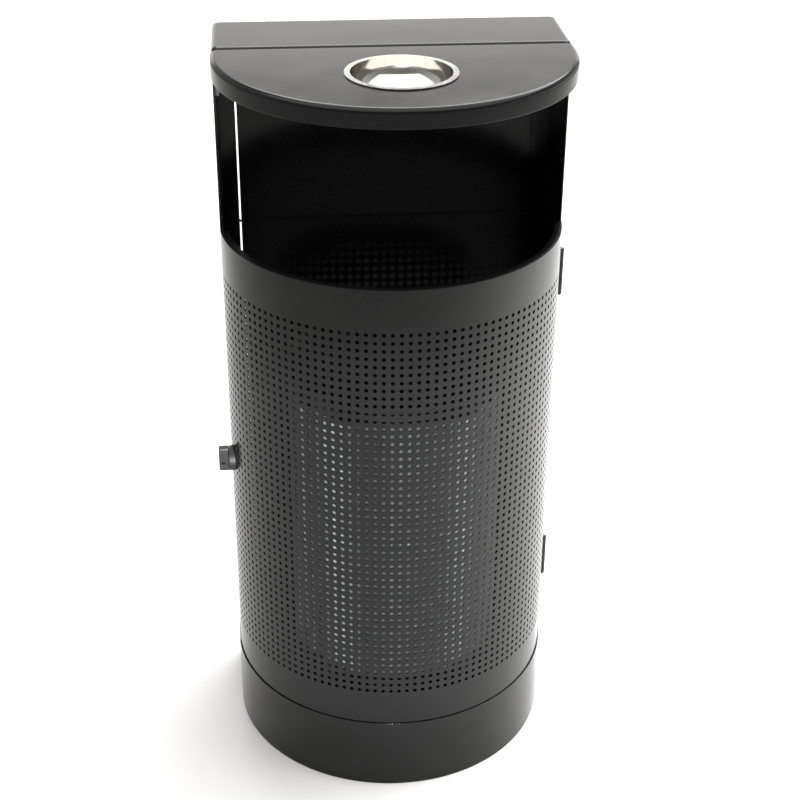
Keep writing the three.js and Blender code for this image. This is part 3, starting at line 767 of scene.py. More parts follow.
def towards(outline: Sequence[Point2], centre: Point2, radius: float, height: float) -> Ring:
    """Return the points of a circle that face each point of an outline."""
    ring = []
    for point in outline:
        x, y = point[0] - centre[0], point[1] - centre[1]
        share = radius / math.hypot(x, y)
        ring.append((centre[0] + share * x, centre[1] + share * y, height))
    return ring


def rounded_oblong(low: Point2, high: Point2, radius: float, steps: int) -> list[Point2]:
    """Draw an oblong with rounded corners, anticlockwise from its lower right corner."""
    outline = []
    for i, (right, top) in enumerate(((True, False), (True, True), (False, True), (False, False))):
        centre = (high[0] - radius if right else low[0] + radius,
                  high[1] - radius if top else low[1] + radius)
        outline += arc(centre, radius, QUARTER * (i - 1), QUARTER * i, steps)
    return outline


def body_outline(
    radius: float, half: float, back: float, centre_y: float, corner: float, steps: int
) -> list[Point2]:
    """Draw the D of the body: a round front, straight sides and rounded rear corners.

    Args:
        radius: radius of the front.
        half: half the width.
        back: where the rear face is.
        centre_y: where the centre of the front's arc is.
        corner: radius of the rear corners.
        steps: steps round the front.

    Returns:
        The outline.
    """
    reach = math.acos(half / radius)
    front = arc((0.0, centre_y), radius, -reach, -math.pi + reach, steps)
    left = arc((-half + corner, back - corner), corner, math.pi, QUARTER, CORNER_STEPS)
    right = arc((half - corner, back - corner), corner, QUARTER, 0.0, CORNER_STEPS)
    return front + left + right


# ---------------------------------------------------------------- sub-assemblies
@dataclass
class Assembly:
    """A sub-assembly that dresses its pieces and sets them on their bodies."""

    palette: Palette

    def place(self, piece: bpy.types.Object, slot: Slot, body: Body, *nodes: str) -> None:
        """Finish a piece.

        Args:
            piece: the piece.
            slot: its material slot.
            body: the body it rides on.
            nodes: the CAD nodes it stands for.
        """
        piece.data.materials.clear()
        piece.data.materials.append(self.palette[slot])
        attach(piece, body.value)
        if nodes:
            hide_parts(*nodes)
        faces = sum(len(p.vertices) - 2 for p in piece.data.polygons)
        log.info("%s rides on %s, %d triangles", piece.name, body.value, faces)

    def place_edged(self, nodes: Sequence[str], slot: Slot, body: Body, edge_mm: float) -> None:
        """Finish edged copies of CAD nodes whose shape is already right."""
        for node in nodes:
            self.place(edged_copy(node, edge_mm), slot, body, node)


@dataclass
class Plinth(Assembly):
    """Rolled ring on the ground, with the anchor plate inside it."""

    radius: float = 206.5
    half: float = 205.7
    back: float = 112.0
    centre_y: float = 20.5
    top: float = 100.0
    sheet: float = 2.0
    corner: float = 3.0
    wavy: PowderCoat = PowderCoat(
        name="powder_coat_on_hand_rolled_ring", sag_mm=55.0, sag_depth_mm=0.7)

    def outline(self, inset: float) -> list[Point2]:
        """Draw the ring's outline, set in by an amount."""
        return body_outline(self.radius - inset, self.half - inset, self.back - inset, self.centre_y,
                            self.corner - inset / 2, ROUND_SIDES)

    def build(self) -> None:
        """Build the ring and the plate."""
        outer, inner = self.outline(0.0), self.outline(self.sheet)
        edges = ((outer, 0.0), (outer, self.top), (inner, self.top), (inner, 0.0))
        ring = from_rings(
            "plinth_rolled_ring", [at_height(plan, z) for plan, z in edges], closed=True)
        self.place(refine(ring, 0.6), Slot.COAT, Body.ROOT, "plinth_ring")
        ring.data.materials[0] = self.wavy.build()
        self.place_edged(["base_plate"], Slot.COAT, Body.ROOT, 0.5)


@dataclass
class Housing(Assembly):
    """Side walls, back panel and the straps between them."""

    panel_reach: float = 0.35
    strap_levels: tuple[float, ...] = (150.0, 330.0, 520.0, 673.0)
    flange_x: float = 190.0
    back: float = 112.0
    wall_x: float = 204.0
    angle_levels: tuple[float, ...] = (142.0,)
    angle_rivet_y: tuple[float, ...] = (34.0, 82.0)
    head_radius: float = 3.2
    head_height: float = 0.9
    mandrel_radius: float = 0.8
    mandrel_sides: int = 12
    mandrel_lift: float = 0.62
    sharp_degrees: float = 50.0
    seat: float = 0.1

    def build(self) -> None:
        """Build the folded sheets, the straps and the rivets."""
        self.place_edged(["side_wall_left", "side_wall_right"], Slot.COAT, Body.ROOT, 0.6)
        panel = edged_copy("back_panel", 0.4)
        # The panel's right edge is drawn out to touch the wall's flange.
        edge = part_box("back_panel")[1].x - 1 * MM
        for vertex in panel.data.vertices:
            if vertex.co.x > edge:
                vertex.co.x += self.panel_reach * MM
        self.place(panel, Slot.COAT, Body.ROOT, "back_panel")
        straps = [f"back_strap_{i + 1}" for i in range(len(self.strap_levels))]
        self.place_edged(straps, Slot.COAT, Body.ROOT, 0.4)
        self.build_rivets()

    def build_rivets(self) -> None:
        """Set blind rivets where the straps and the inner angles are fixed to the outer sheet."""
        spots: list[tuple[Point3, Point3]] = []
        for side in (-1, 1):
            spots += [((side * self.flange_x, self.back, z), (0, 1, 0)) for z in self.strap_levels]
            for z in self.angle_levels:
                spots += [((side * self.wall_x, y, z), (side, 0, 0)) for y in self.angle_rivet_y]
        seats = bmesh.new()
        for place, facing in spots:
            other = Vector(facing).cross(UP)
            corners = [(Vector(place) + self.seat * step) * MM for step in (other, UP, -other - UP)]
            face = seats.faces.new([seats.verts.new(c) for c in corners])
            face.normal_update()
            if face.normal.dot(Vector(facing)) < 0:
                face.normal_flip()
        rivets = as_drawn("blind_rivets", seats)
        run_tree(rivets, rivet_tree(), {
            "Head Radius": self.head_radius * MM, "Head Height": self.head_height * MM,
            "Mandrel Radius": self.mandrel_radius * MM, "Mandrel Sides": self.mandrel_sides,
            "Mandrel Lift": self.mandrel_lift * self.head_height * MM,
            "Finish": self.palette[Slot.COAT]})
        for face in rivets.data.polygons:
            face.use_smooth = True
        rivets.data.set_sharp_from_angle(angle=math.radians(self.sharp_degrees))
        self.place(rivets, Slot.COAT, Body.ROOT)


@dataclass
class Hoods(Assembly):
    """Lid over the mouth and cap behind it: two folded trays, bolted together at their skirts."""

    top: float = 924.0
    low: float = 902.0
    sheet: float = 2.0
    edge: float = 6.0
    corner: float = 5.0
    lid_half: float = 205.0
    lid_rear: float = -0.9
    lid_straight: float = -22.0
    lid_depth: float = 201.0
    cap_half: float = 204.0
    cap_front: float = 0.9
    cap_back: float = 112.0
    bowl_y: float = -102.6
    bowl_hole: float = 57.5
    bolt_x: tuple[float, ...] = (-165.0, -60.0, 60.0, 165.0)
    bolt_z: float = 911.0
    bolt_hole: float = 3.3
    bend_steps: int = 8
    front_steps: int = 144
    rear_steps: int = 16

    def lid_outline(self, inset: float) -> list[Point2]:
        """Draw the lid's outline, set in by an amount."""
        half, rear = self.lid_half - inset, self.lid_rear - inset
        radius = self.corner
        span, depth = half - radius, self.lid_depth - inset
        right = arc((span, rear - radius), radius, QUARTER, 0.0, CORNER_STEPS)
        angles = [-math.pi * i / self.front_steps for i in range(self.front_steps + 1)]
        front = [(half * math.cos(a), self.lid_straight + depth * math.sin(a)) for a in angles]
        left = arc((-span, rear - radius), radius, math.pi, QUARTER, CORNER_STEPS)
        steps = self.rear_steps
        back = [(-span + 2 * span * i / steps, rear) for i in range(1, steps)]
        return right + front + left + back

    def cap_outline(self, inset: float) -> list[Point2]:
        """Draw the cap's outline, set in by an amount."""
        half = self.cap_half - inset
        return rounded_oblong((-half, self.cap_front + inset), (half, self.cap_back - inset),
                              self.corner, CORNER_STEPS)

    def skirt(self, outline: Callable[[float], list[Point2]], inset: float) -> list[Ring]:
        """Draw one wall of a tray, from its open edge up round the bend to its top.

        Args:
            outline: draws the plan at a given inset.
            inset: how far in the wall stands: 0 outside, the sheet's thickness inside.

        Returns:
            The rings, lowest first.
        """
        top, edge = self.top - inset, self.edge - inset
        rings = [at_height(outline(inset), self.low)]
        for i in range(self.bend_steps + 1):
            angle = QUARTER * i / self.bend_steps
            plan = outline(inset + edge * (1 - math.cos(angle)))
            rings.append(at_height(plan, top - edge * (1 - math.sin(angle))))
        return rings

    def bolt_cuts(self) -> list[bpy.types.Object]:
        """Return rods that cut the seam bolts' holes."""
        return [rod("cut", self.bolt_hole, (x, -10.0, self.bolt_z), (x, 10.0, self.bolt_z))
                for x in self.bolt_x]

    def build(self) -> None:
        """Build the lid, the cap and what joins them."""
        outside, inside = [self.skirt(self.lid_outline, inset) for inset in (0.0, self.sheet)]
        centre = (0.0, self.bowl_y)
        inner_plan = self.lid_outline(self.edge)
        hole = [towards(inner_plan, centre, self.bowl_hole, z)
                for z in (self.top, self.top - self.sheet)]
        lid = from_rings("lid_folded_tray", outside + hole + inside[::-1], closed=True)
        self.place(refine(lid, 0.5, self.bolt_cuts()), Slot.COAT, Body.ROOT, "lid")

        outside, inside = [self.skirt(self.cap_outline, inset) for inset in (0.0, self.sheet)]
        cap = from_rings("rear_cap_folded_tray", inside[::-1] + outside)
        self.place(refine(cap, 0.5, self.bolt_cuts()), Slot.COAT, Body.ROOT, "rear_cap")

        inner = ["seam_spacer_bar", "cap_bracket_left", "cap_bracket_right"]
        inner += [f"{kind}_{i + 1}" for kind in ("seam_bolt", "seam_nut")
                  for i in range(len(self.bolt_x))]
        inner += [f"cap_bracket_bolt_{side}_{i}" for side in ("left", "right") for i in (1, 2)]
        self.place_edged(inner, Slot.ZINC, Body.ROOT, 0.4)


@dataclass
class AshBowl(Assembly):
    """Spun bowl that hangs by its rim in the lid's hole."""

    centre_y: float = -102.6
    rim_radius: float = 61.7
    body_radius: float = 56.5
    sheet: float = 1.2
    seat: float = 924.3
    depth: float = 40.0
    shoulder: float = 918.0
    flat: float = 18.0
    drain_at: Point2 = (38.0, -96.6)
    drain_radius: float = 3.0
    curve_steps: int = 24

    def curve(self, radius: float, low: float) -> list[Point2]:
        """Draw the wall's profile from the flat bottom up to the neck."""
        points = []
        for i in range(self.curve_steps + 1):
            angle = QUARTER * i / self.curve_steps
            points.append((self.flat + (radius - self.flat) * math.sin(angle),
                           self.shoulder - (self.shoulder - low) * math.cos(angle)))
        return points

    def build(self) -> None:
        """Build the bowl."""
        top = self.seat + self.sheet
        low = top - self.depth
        inner = self.body_radius - self.sheet
        profile = [(0.0, low), *self.curve(self.body_radius, low), (self.body_radius, self.seat),
                   (self.rim_radius, self.seat), (self.rim_radius, top), (inner, top),
                   *self.curve(inner, low + self.sheet)[::-1], (0.0, low + self.sheet)]
        bowl = turned("ash_bowl_spun", profile, (0.0, self.centre_y))
        x, y = self.drain_at
        drain = rod("cut", self.drain_radius, (x, y, low - 5), (x, y, top))
        self.place(refine(bowl, 0.45, [drain], segments=3), Slot.STAINLESS, Body.ASH_BOWL, "ash_bowl")


@dataclass
class LinerShelf(Assembly):
    """Shelf under the liner, its two angles and the ring that keeps the liner in place."""

    liner_y: float = -45.0
    inner: float = 133.5
    sheet: float = 2.0
    low: float = 155.3
    top: float = 170.0

    def build(self) -> None:
        """Build the ring, the shelf and the angles."""
        outer = self.inner + self.sheet
        ring = turned("liner_locating_hoop", [
            (self.inner, self.low), (outer, self.low), (outer, self.top), (self.inner, self.top)],
            (0.0, self.liner_y), ring=True)
        self.place(refine(ring, 0.6), Slot.COAT, Body.ROOT, "liner_locating_ring")
        self.place_edged(["liner_shelf"], Slot.COAT, Body.ROOT, 0.4)
        self.place_edged(["shelf_angle_left", "shelf_angle_right"], Slot.ZINC, Body.ROOT, 0.4)


@dataclass
class Door(Assembly):
    """Rolled, perforated door skin with its rims and stiles."""

    radius: float = 205.0
    centre_y: float = 20.5
    end_y: float = -1.0
    low: float = 101.0
    top: float = 706.0
    sheet: float = 1.5
    pitch: float = 10.0
    columns: int = 58
    rows: int = 51
    first_row: float = 151.5
    hole_radius: float = 2.5
    hole_sides: int = 12
    latch_u: float = -285.3
    latch_z: float = 403.0
    latch_bore: float = 6.0
    plain_u: float = -270.0
    plain_low: float = 386.5
    plain_high: float = 416.5
    notch_y: float = -5.0
    notch_half: float = 33.2
    hinge_levels: tuple[float, ...] = (223.0, 640.0)
    rim_out: float = 203.2
    rim_in: float = 195.5
    rim_end_y: float = -2.0
    rim_sheet: float = 1.5
    rim_steps: int = 96

    def spread(self, y: float, radius: float) -> float:
        """Return the half angle of the door's arc where it meets a plane across the body."""
        return math.acos((self.centre_y - y) / radius)

    def behind_latch(self, u: float, z: float) -> bool:
        """Say whether a spot on the flat sheet is in the plain patch behind the latch."""
        return u < self.plain_u and self.plain_low < z < self.plain_high

    def punched(self, u: float, z: float) -> bool:
        """Say whether a spot on the flat sheet falls in a cell that holds a hole."""
        low = self.first_row - self.pitch / 2
        field_cell = (abs(u) < self.columns * self.pitch / 2
                      and low < z < low + self.pitch * self.rows)
        return field_cell and not self.behind_latch(u, z)

    def flat_faces(self) -> list[list[Point2]]:
        """Draw the flat sheet's plain parts as faces that share every corner with their neighbours."""
        end = self.radius * self.spread(self.end_y, self.radius)
        notch = self.radius * self.spread(self.notch_y, self.radius)
        side = self.columns * self.pitch / 2
        steps = [-side + self.pitch * i for i in range(self.columns + 1)]
        field_low = self.first_row - self.pitch / 2
        levels = [self.low] + [field_low + self.pitch * i for i in range(self.rows + 1)] + [self.top]
        cuts = sorted(z + s * self.notch_half for z in self.hinge_levels for s in (-1, 1))
        faces: list[list[Point2]] = []
        for u0, u1 in zip([-end] + steps, steps + [notch]):
            for z0, z1 in zip(levels, levels[1:]):
                u, z = (u0 + u1) / 2, (z0 + z1) / 2
                if self.punched(u, z) or self.behind_latch(u, z):
                    continue
                extra = [(u1, c) for c in cuts if u1 == notch and z0 < c < z1]
                faces.append([(u0, z0), (u1, z0), *extra, (u1, z1), (u0, z1)])
        ends = sorted(set(levels) | set(cuts))
        for z0, z1 in zip(ends, ends[1:]):
            middle = (z0 + z1) / 2
            if all(abs(middle - z) > self.notch_half for z in self.hinge_levels):
                faces.append([(notch, z0), (end, z0), (end, z1), (notch, z1)])
        return faces + self.bored_patch(-end, [-end, *[s for s in steps if s <= self.plain_u]])

    def bored_patch(self, start: float, steps: list[float]) -> list[list[Point2]]:
        """Draw the plain patch behind the latch, with the bore for the latch's spindle.

        Args:
            start: the patch's outer edge.
            steps: the places along the patch where its neighbours have corners.

        Returns:
            The faces.
        """
        levels = [self.plain_low + self.pitch * i for i in range(4)]
        rim = [(u, levels[0]) for u in steps]
        rim += [(steps[-1], z) for z in levels[1:]]
        rim += [(u, levels[-1]) for u in steps[-2::-1]]
        rim += [(start, z) for z in levels[-2:0:-1]]
        bore = (self.latch_u, self.latch_z)
        angles = [math.atan2(z - bore[1], u - bore[0]) for u, z in rim]
        faces = []
        for i, corner in enumerate(rim):
            j = (i + 1) % len(rim)
            turn = (angles[j] - angles[i]) % (2 * math.pi)
            ring = arc(bore, self.latch_bore, angles[i], angles[i] + turn, BORE_STEPS)
            faces.append([corner, rim[j], *ring[::-1]])
        return faces

    def plain_sheet(self) -> bpy.types.Object:
        """Build the plain parts of the sheet, still flat, with walls only round its true outline."""
        skin = bmesh.new()
        corners: dict[tuple[Point2, bool], bmesh.types.BMVert] = {}

        def spot(place: Point2) -> Point2:
            """Round a place, so that the same place is found again."""
            return round(place[0], 3), round(place[1], 3)

        def corner(place: Point2, behind: bool) -> bmesh.types.BMVert:
            """Return the vertex at a place, made once."""
            key = (spot(place), behind)
            if key not in corners:
                depth = self.sheet if behind else 0.0
                corners[key] = skin.verts.new(Vector((place[0], depth, place[1])) * MM)
            return corners[key]

        count: Counter[frozenset[Point2]] = Counter()
        faces = self.flat_faces()
        for face in faces:
            count.update(frozenset(map(spot, edge)) for edge in zip(face, face[1:] + face[:1]))
        for face in faces:
            skin.faces.new([corner(place, False) for place in face])
            skin.faces.new([corner(place, True) for place in reversed(face)])
            for a, b in zip(face, face[1:] + face[:1]):
                outward = Vector((b[1] - a[1], a[0] - b[0])).normalized() * 0.5
                beyond = ((a[0] + b[0]) / 2 + outward.x, (a[1] + b[1]) / 2 + outward.y)
                if count[frozenset((spot(a), spot(b)))] == 1 and not self.punched(*beyond):
                    skin.faces.new((corner(b, False), corner(a, False),
                                    corner(a, True), corner(b, True)))
        return as_drawn("door_skin_perforated", skin)

    def build_skin(self) -> None:
        """Punch and roll the sheet, and give both faces the roll's own smooth shading."""
        skin = self.plain_sheet()
        middle = self.first_row + self.pitch * (self.rows - 1) / 2
        run_tree(skin, perforation_tree(), {
            "Pitch": self.pitch * MM, "Columns": self.columns, "Rows": self.rows,
            "Hole Radius": self.hole_radius * MM, "Hole Sides": self.hole_sides,
            "Thickness": self.sheet * MM, "Field Height": middle * MM,
            "Plain Beyond": self.plain_u * MM, "Plain Low": self.plain_low * MM,
            "Plain High": self.plain_high * MM, "Roll Radius": self.radius * MM,
            "Roll Centre": self.centre_y * MM, "Finish": self.palette[Slot.COAT]})
        mesh = skin.data
        spots = np.empty(len(mesh.vertices) * 3)
        mesh.vertices.foreach_get("co", spots)
        out = spots.reshape(-1, 3) * (1, 1, 0) - (0, self.centre_y * MM, 0)
        out /= np.linalg.norm(out, axis=1)[:, None]
        facing = np.empty(len(mesh.polygons) * 3)
        mesh.polygons.foreach_get("normal", facing)
        facing = facing.reshape(-1, 3)
        sizes = np.empty(len(mesh.polygons), dtype=int)
        mesh.polygons.foreach_get("loop_total", sizes)
        corners = np.empty(len(mesh.loops), dtype=int)
        mesh.loops.foreach_get("vertex_index", corners)
        flat = np.repeat(facing, sizes, axis=0)
        radial = out[corners]
        agree = np.einsum("ij,ij->i", flat, radial)
        normals = np.where((np.abs(agree) > 0.8)[:, None], radial * np.sign(agree)[:, None], flat)
        mesh.polygons.foreach_set("use_smooth", np.ones(len(mesh.polygons), dtype=bool))
        mesh.normals_split_custom_set(normals.tolist())
        self.place(skin, Slot.COAT, Body.DOOR, "door_skin")

    def rim(self, name: str, low: float) -> bpy.types.Object:
        """Build one of the flanges folded in along the door's upper and lower edges."""
        out, inn = self.rim_out, self.rim_in
        high = low + self.rim_sheet
        rings = []
        for i in range(self.rim_steps + 1):
            share = -1 + 2 * i / self.rim_steps
            ring = []
            for radius, z in ((out, low), (out, high), (inn, high), (inn, low)):
                angle = share * self.spread(self.rim_end_y, radius)
                ring.append((radius * math.sin(angle), self.centre_y - radius * math.cos(angle), z))
            rings.append(ring)
        return refine(from_rings(name, rings), 0.5)

    def build(self) -> None:
        """Build the skin, the rims and the stiles."""
        self.build_skin()
        for name, low, node in (("door_top_flange", self.top - self.rim_sheet, "door_top_rim"),
                                ("door_bottom_flange", self.low, "door_bottom_rim")):
            self.place(self.rim(name, low), Slot.COAT, Body.DOOR, node)
        self.place_edged(["hinge_stile", "latch_stile"], Slot.COAT, Body.DOOR, 0.4)


@dataclass
class Hinges(Assembly):
    """Two three-knuckle hinges on one upright axis."""

    names: tuple[str, ...] = ("upper", "lower")
    axis: Point2 = (205.4, 0.0)
    centres: tuple[float, ...] = (640.0, 223.0)
    height: float = 60.0
    pin_radius: float = 2.0
    tip_radius: float = 2.9
    tip: float = 2.5
    gap: float = 0.3
    black: ZincPlate = ZincPlate("black_passivated_zinc", "2b2a31", "3a3733", 0.3, 0.45)

    def build(self) -> None:
        """Build the leaves and the pins, and give the leaves their black passivate."""
        finish = self.black.build()
        leaves = [(f"{name}_hinge_{side}_leaf", body) for name in self.names
                  for side, body in (("frame", Body.ROOT), ("door", Body.DOOR))]
        for node, body in leaves:
            leaf = edged_copy(node, 0.3)
            self.place(leaf, Slot.ZINC, body, node)
            leaf.data.materials[0] = finish
        for name, centre in zip(self.names, self.centres):
            low, high = centre - self.height / 2, centre + self.height / 2
            profile = [(0.0, low - self.tip), (self.tip_radius * 0.7, low - self.tip),
                       (self.tip_radius, low - self.tip * 0.7), (self.tip_radius, low - self.gap),
                       (self.pin_radius, low - self.gap), (self.pin_radius, high + self.gap),
                       (self.tip_radius, high + self.gap), (self.tip_radius, high + self.tip * 0.7),
                       (self.tip_radius * 0.7, high + self.tip), (0.0, high + self.tip)]
            pin = turned(f"{name}_hinge_peened_pin", profile, self.axis, 32)
            self.place(refine(pin, 0.15), Slot.ZINC, Body.ROOT, f"{name}_hinge_pin")


@dataclass
class Latch(Assembly):
    """Quarter-turn latch: plate on the door, wing knob, and the hook and nut behind them."""

    axis_y: float = -16.0
    axis_z: float = 403.0
    knob_out: float = -219.7
    knob_in: float = -206.7
    knob_half_y: float = 5.0
    knob_half_z: float = 16.5
    corner: float = 1.6
    groove_z: float = -5.9
    groove: float = 0.6
    eye_radius: float = 2.0
    eye_x: float = -214.2
    eye_z: float = 398.0
    spindle: float = 4.3
    spindle_end: float = -191.8
    thread: float = 2.9
    thread_end: float = -185.5
    end_steps: tuple[Point2, ...] = ((2.2, 0.0), (0.9, 0.7), (0.2, 2.0), (0.0, 3.4))

    def knob_ring(self, inset: float, height: float) -> Ring:
        """Draw the knob's outline, set in by an amount, at a height above the latch's axis."""
        x0, x1 = self.knob_out + inset, self.knob_in - inset * 0.2
        half = self.knob_half_y - inset
        radius = max(self.corner - inset * 0.5, 0.4)
        plan = rounded_oblong((x0, self.axis_y - half), (x1, self.axis_y + half), radius, 4)
        return at_height(plan, self.axis_z + height)

    def build(self) -> None:
        """Build the plate, the knob, the hook and the nut."""
        self.place_edged(["latch_escutcheon"], Slot.NYLON, Body.DOOR, 0.7)
        half, line, deep = self.knob_half_z, self.groove_z, self.groove
        foot = [(inset, -half + rise) for inset, rise in self.end_steps]
        groove = [(0.0, line - deep), (deep, line - deep * 0.5),
                  (deep, line + deep * 0.5), (0.0, line + deep)]
        head = [(inset, half - rise) for inset, rise in self.end_steps[::-1]]
        knob = from_rings(
            "latch_wing_knob", [self.knob_ring(inset, z) for inset, z in foot + groove + head])
        middle = (self.axis_y, self.axis_z)
        spindle = rod("join", self.spindle, (self.knob_in - 2, *middle), (self.spindle_end, *middle))
        thread = rod("join", self.thread, (self.spindle_end - 1, *middle), (self.thread_end, *middle))
        eye = rod("cut", self.eye_radius, (self.eye_x, self.axis_y - 10, self.eye_z),
                  (self.eye_x, self.axis_y + 10, self.eye_z))
        self.place(refine(knob, 0.25, [eye], [spindle, thread]), Slot.NYLON, Body.LATCH, "latch_knob")
        self.place_edged(["latch_hook", "latch_nut"], Slot.ZINC, Body.LATCH, 0.3)
        self.place_edged(["striker_stud"], Slot.ZINC, Body.ROOT, 0.3)


@dataclass
class Liner(Assembly):
    """Round galvanised liner with its rim band, ears and bail handle."""

    centre_y: float = -45.0
    wall: float = 130.8
    sheet: float = 1.2
    bead: float = 1.2
    bead_half: float = 4.5
    bead_levels: tuple[float, ...] = (228.0, 298.0, 368.0)
    low: float = 155.3
    foot: float = 6.0
    foot_width: float = 8.0
    top: float = 548.0
    band_in: float = 131.1
    band_out: float = 133.6
    band_lip: float = 135.0
    band_low: float = 530.0
    band_top: float = 550.0
    bail_half: float = 143.0
    bail_depth: float = 136.0
    bail_z: float = 534.0
    ear_face: float = 133.9
    wire: float = 2.0
    wire_sides: int = 16
    bail_steps: int = 48
    bead_steps: int = 12
    # Painted shade: a dark, grained coat on the drum's inner wall and bottom stands in for the shade
    # inside the bin.
    inner_shade: TexturedPolymer = TexturedPolymer("painted_shade_inside_drum", "0b0b0b", "161616", 0.6, 2.5, 0.08)

    def beaded(self, wall: float) -> list[Point2]:
        """Draw the wall from the lowest bead to the highest."""
        points = []
        for level in self.bead_levels:
            for i in range(self.bead_steps + 1):
                share = -1 + 2 * i / self.bead_steps
                swell = self.bead * math.cos(share * QUARTER) ** 2
                points.append((wall + swell, level + share * self.bead_half))
        return points

    def bail_path(self) -> list[Vector]:
        """Draw the bail's centre line, lying to the rear, with its ends turned into the ears."""
        points = [Vector((x, self.centre_y, 0.0)) for x in (self.ear_face + 0.5, self.bail_half - 3)]
        for i in range(self.bail_steps + 1):
            angle = math.pi * i / self.bail_steps
            lift = min(1.0, math.sin(angle) * 6)
            points.append(Vector((self.bail_half * math.cos(angle),
                                  self.centre_y + 4 * lift + self.bail_depth * math.sin(angle), 0.0)))
        points += [Vector((-p.x, p.y, 0.0)) for p in (points[1], points[0])]
        for _ in range(2):
            cut = [points[0]]
            for a, b in zip(points, points[1:]):
                cut += [a.lerp(b, 0.25), a.lerp(b, 0.75)]
            points = cut + [points[-1]]
        return points

    def shade_inside(self, mesh: bpy.types.Mesh, floor: float) -> None:
        """Paint the inside of the drum dark, as painted shade for the dim inside of the bin.

        Args:
            mesh: the drum's mesh.
            floor: height of the underside of the drum's bottom.
        """
        mesh.materials.append(self.inner_shade.build())
        for face in mesh.polygons:
            out = Vector((face.center.x, face.center.y - self.centre_y * MM, 0.0)).normalized()
            inner_wall = face.normal.dot(out) < -0.5
            bottom = face.normal.z > 0.9 and face.center.z < (floor + 2 * self.sheet) * MM
            if face.center.z > floor * MM and (inner_wall or bottom):
                face.material_index = 1

    def build_bail(self) -> None:
        """Build the round wire."""
        path = self.bail_path()
        rings = []
        for i, point in enumerate(path):
            ahead = (path[min(i + 1, len(path) - 1)] - path[max(i - 1, 0)]).normalized()
            side = UP.cross(ahead)
            rings.append([
                tuple(point + self.bail_z * UP + self.wire * (math.cos(t) * side + math.sin(t) * UP))
                for t in turns_of(self.wire_sides)])
        bail = from_rings("bail_wire_handle", rings)
        self.place(refine(bail, 0.3), Slot.ZINC, Body.BAIL, "bail_handle")

    def build(self) -> None:
        """Build the drum, the band, the ears and the bail."""
        centre = (0.0, self.centre_y)
        inner = self.wall - self.sheet
        step_in = inner - self.foot_width
        floor = self.low + self.foot
        profile = [(0.0, floor), (step_in, floor), (step_in, self.low), (self.wall, self.low),
                   *self.beaded(self.wall), (self.wall, self.top), (inner, self.top),
                   *self.beaded(inner)[::-1], (inner, floor + self.sheet), (0.0, floor + self.sheet)]
        drum = turned("liner_beaded_drum", profile, centre)
        self.place(refine(drum, 0.4), Slot.GALVANISED, Body.LINER, "liner_drum")
        # The drum's inner wall and bottom take the dark coat of painted shade.
        self.shade_inside(drum.data, floor)
        band = turned("liner_rolled_band", [
            (self.band_in, self.band_low), (self.band_out, self.band_low),
            (self.band_out, self.band_top - 5), (self.band_lip, self.band_top - 3),
            (self.band_lip, self.band_top - 1), (self.band_out, self.band_top),
            (self.band_in, self.band_top)], centre, ring=True)
        self.place(refine(band, 0.3), Slot.RUBBER, Body.LINER, "liner_rim_band")
        self.place_edged(["liner_ear_left", "liner_ear_right"], Slot.GALVANISED, Body.LINER, 0.3)
        self.build_bail()


# ---------------------------------------------------------------- studio
@dataclass
class Light:
    """A light that shines towards a target."""

    name: str
    place: Point3
    target: Point3

    def hang(self, light: bpy.types.Light) -> None:
        """Put the light in its place and aim it."""
        aim = (Vector(self.target) - Vector(self.place)).to_track_quat("-Z", "Y")
        lamp = show(self.name, light)
        lamp.matrix_world = Matrix.Translation(self.place) @ aim.to_matrix().to_4x4()


@dataclass
class Lamp(Light):
    """A soft rectangular lamp."""

    width: float
    height: float
    radiance: float
    tint: str = "ffffff"

    def build(self) -> None:
        """Hang the lamp."""
        light = bpy.data.lights.new(self.name, "AREA")
        light.shape = "RECTANGLE"
        light.size = self.width
        light.size_y = self.height
        light.energy = self.radiance * math.pi * self.width * self.height
        light.color = linear(self.tint)[:3]
        self.hang(light)


@dataclass
class Spotlight(Light):
    """A spotlight on the body of the bin, which shines in through the door's holes."""

    watts: float
    cone_degrees: float
    size: float
    blend: float = 0.5

    def build(self) -> None:
        """Hang the spotlight."""
        light = bpy.data.lights.new(self.name, "SPOT")
        light.energy = self.watts
        light.spot_size = math.radians(self.cone_degrees)
        light.spot_blend = self.blend
        light.shadow_soft_size = self.size
        self.hang(light)


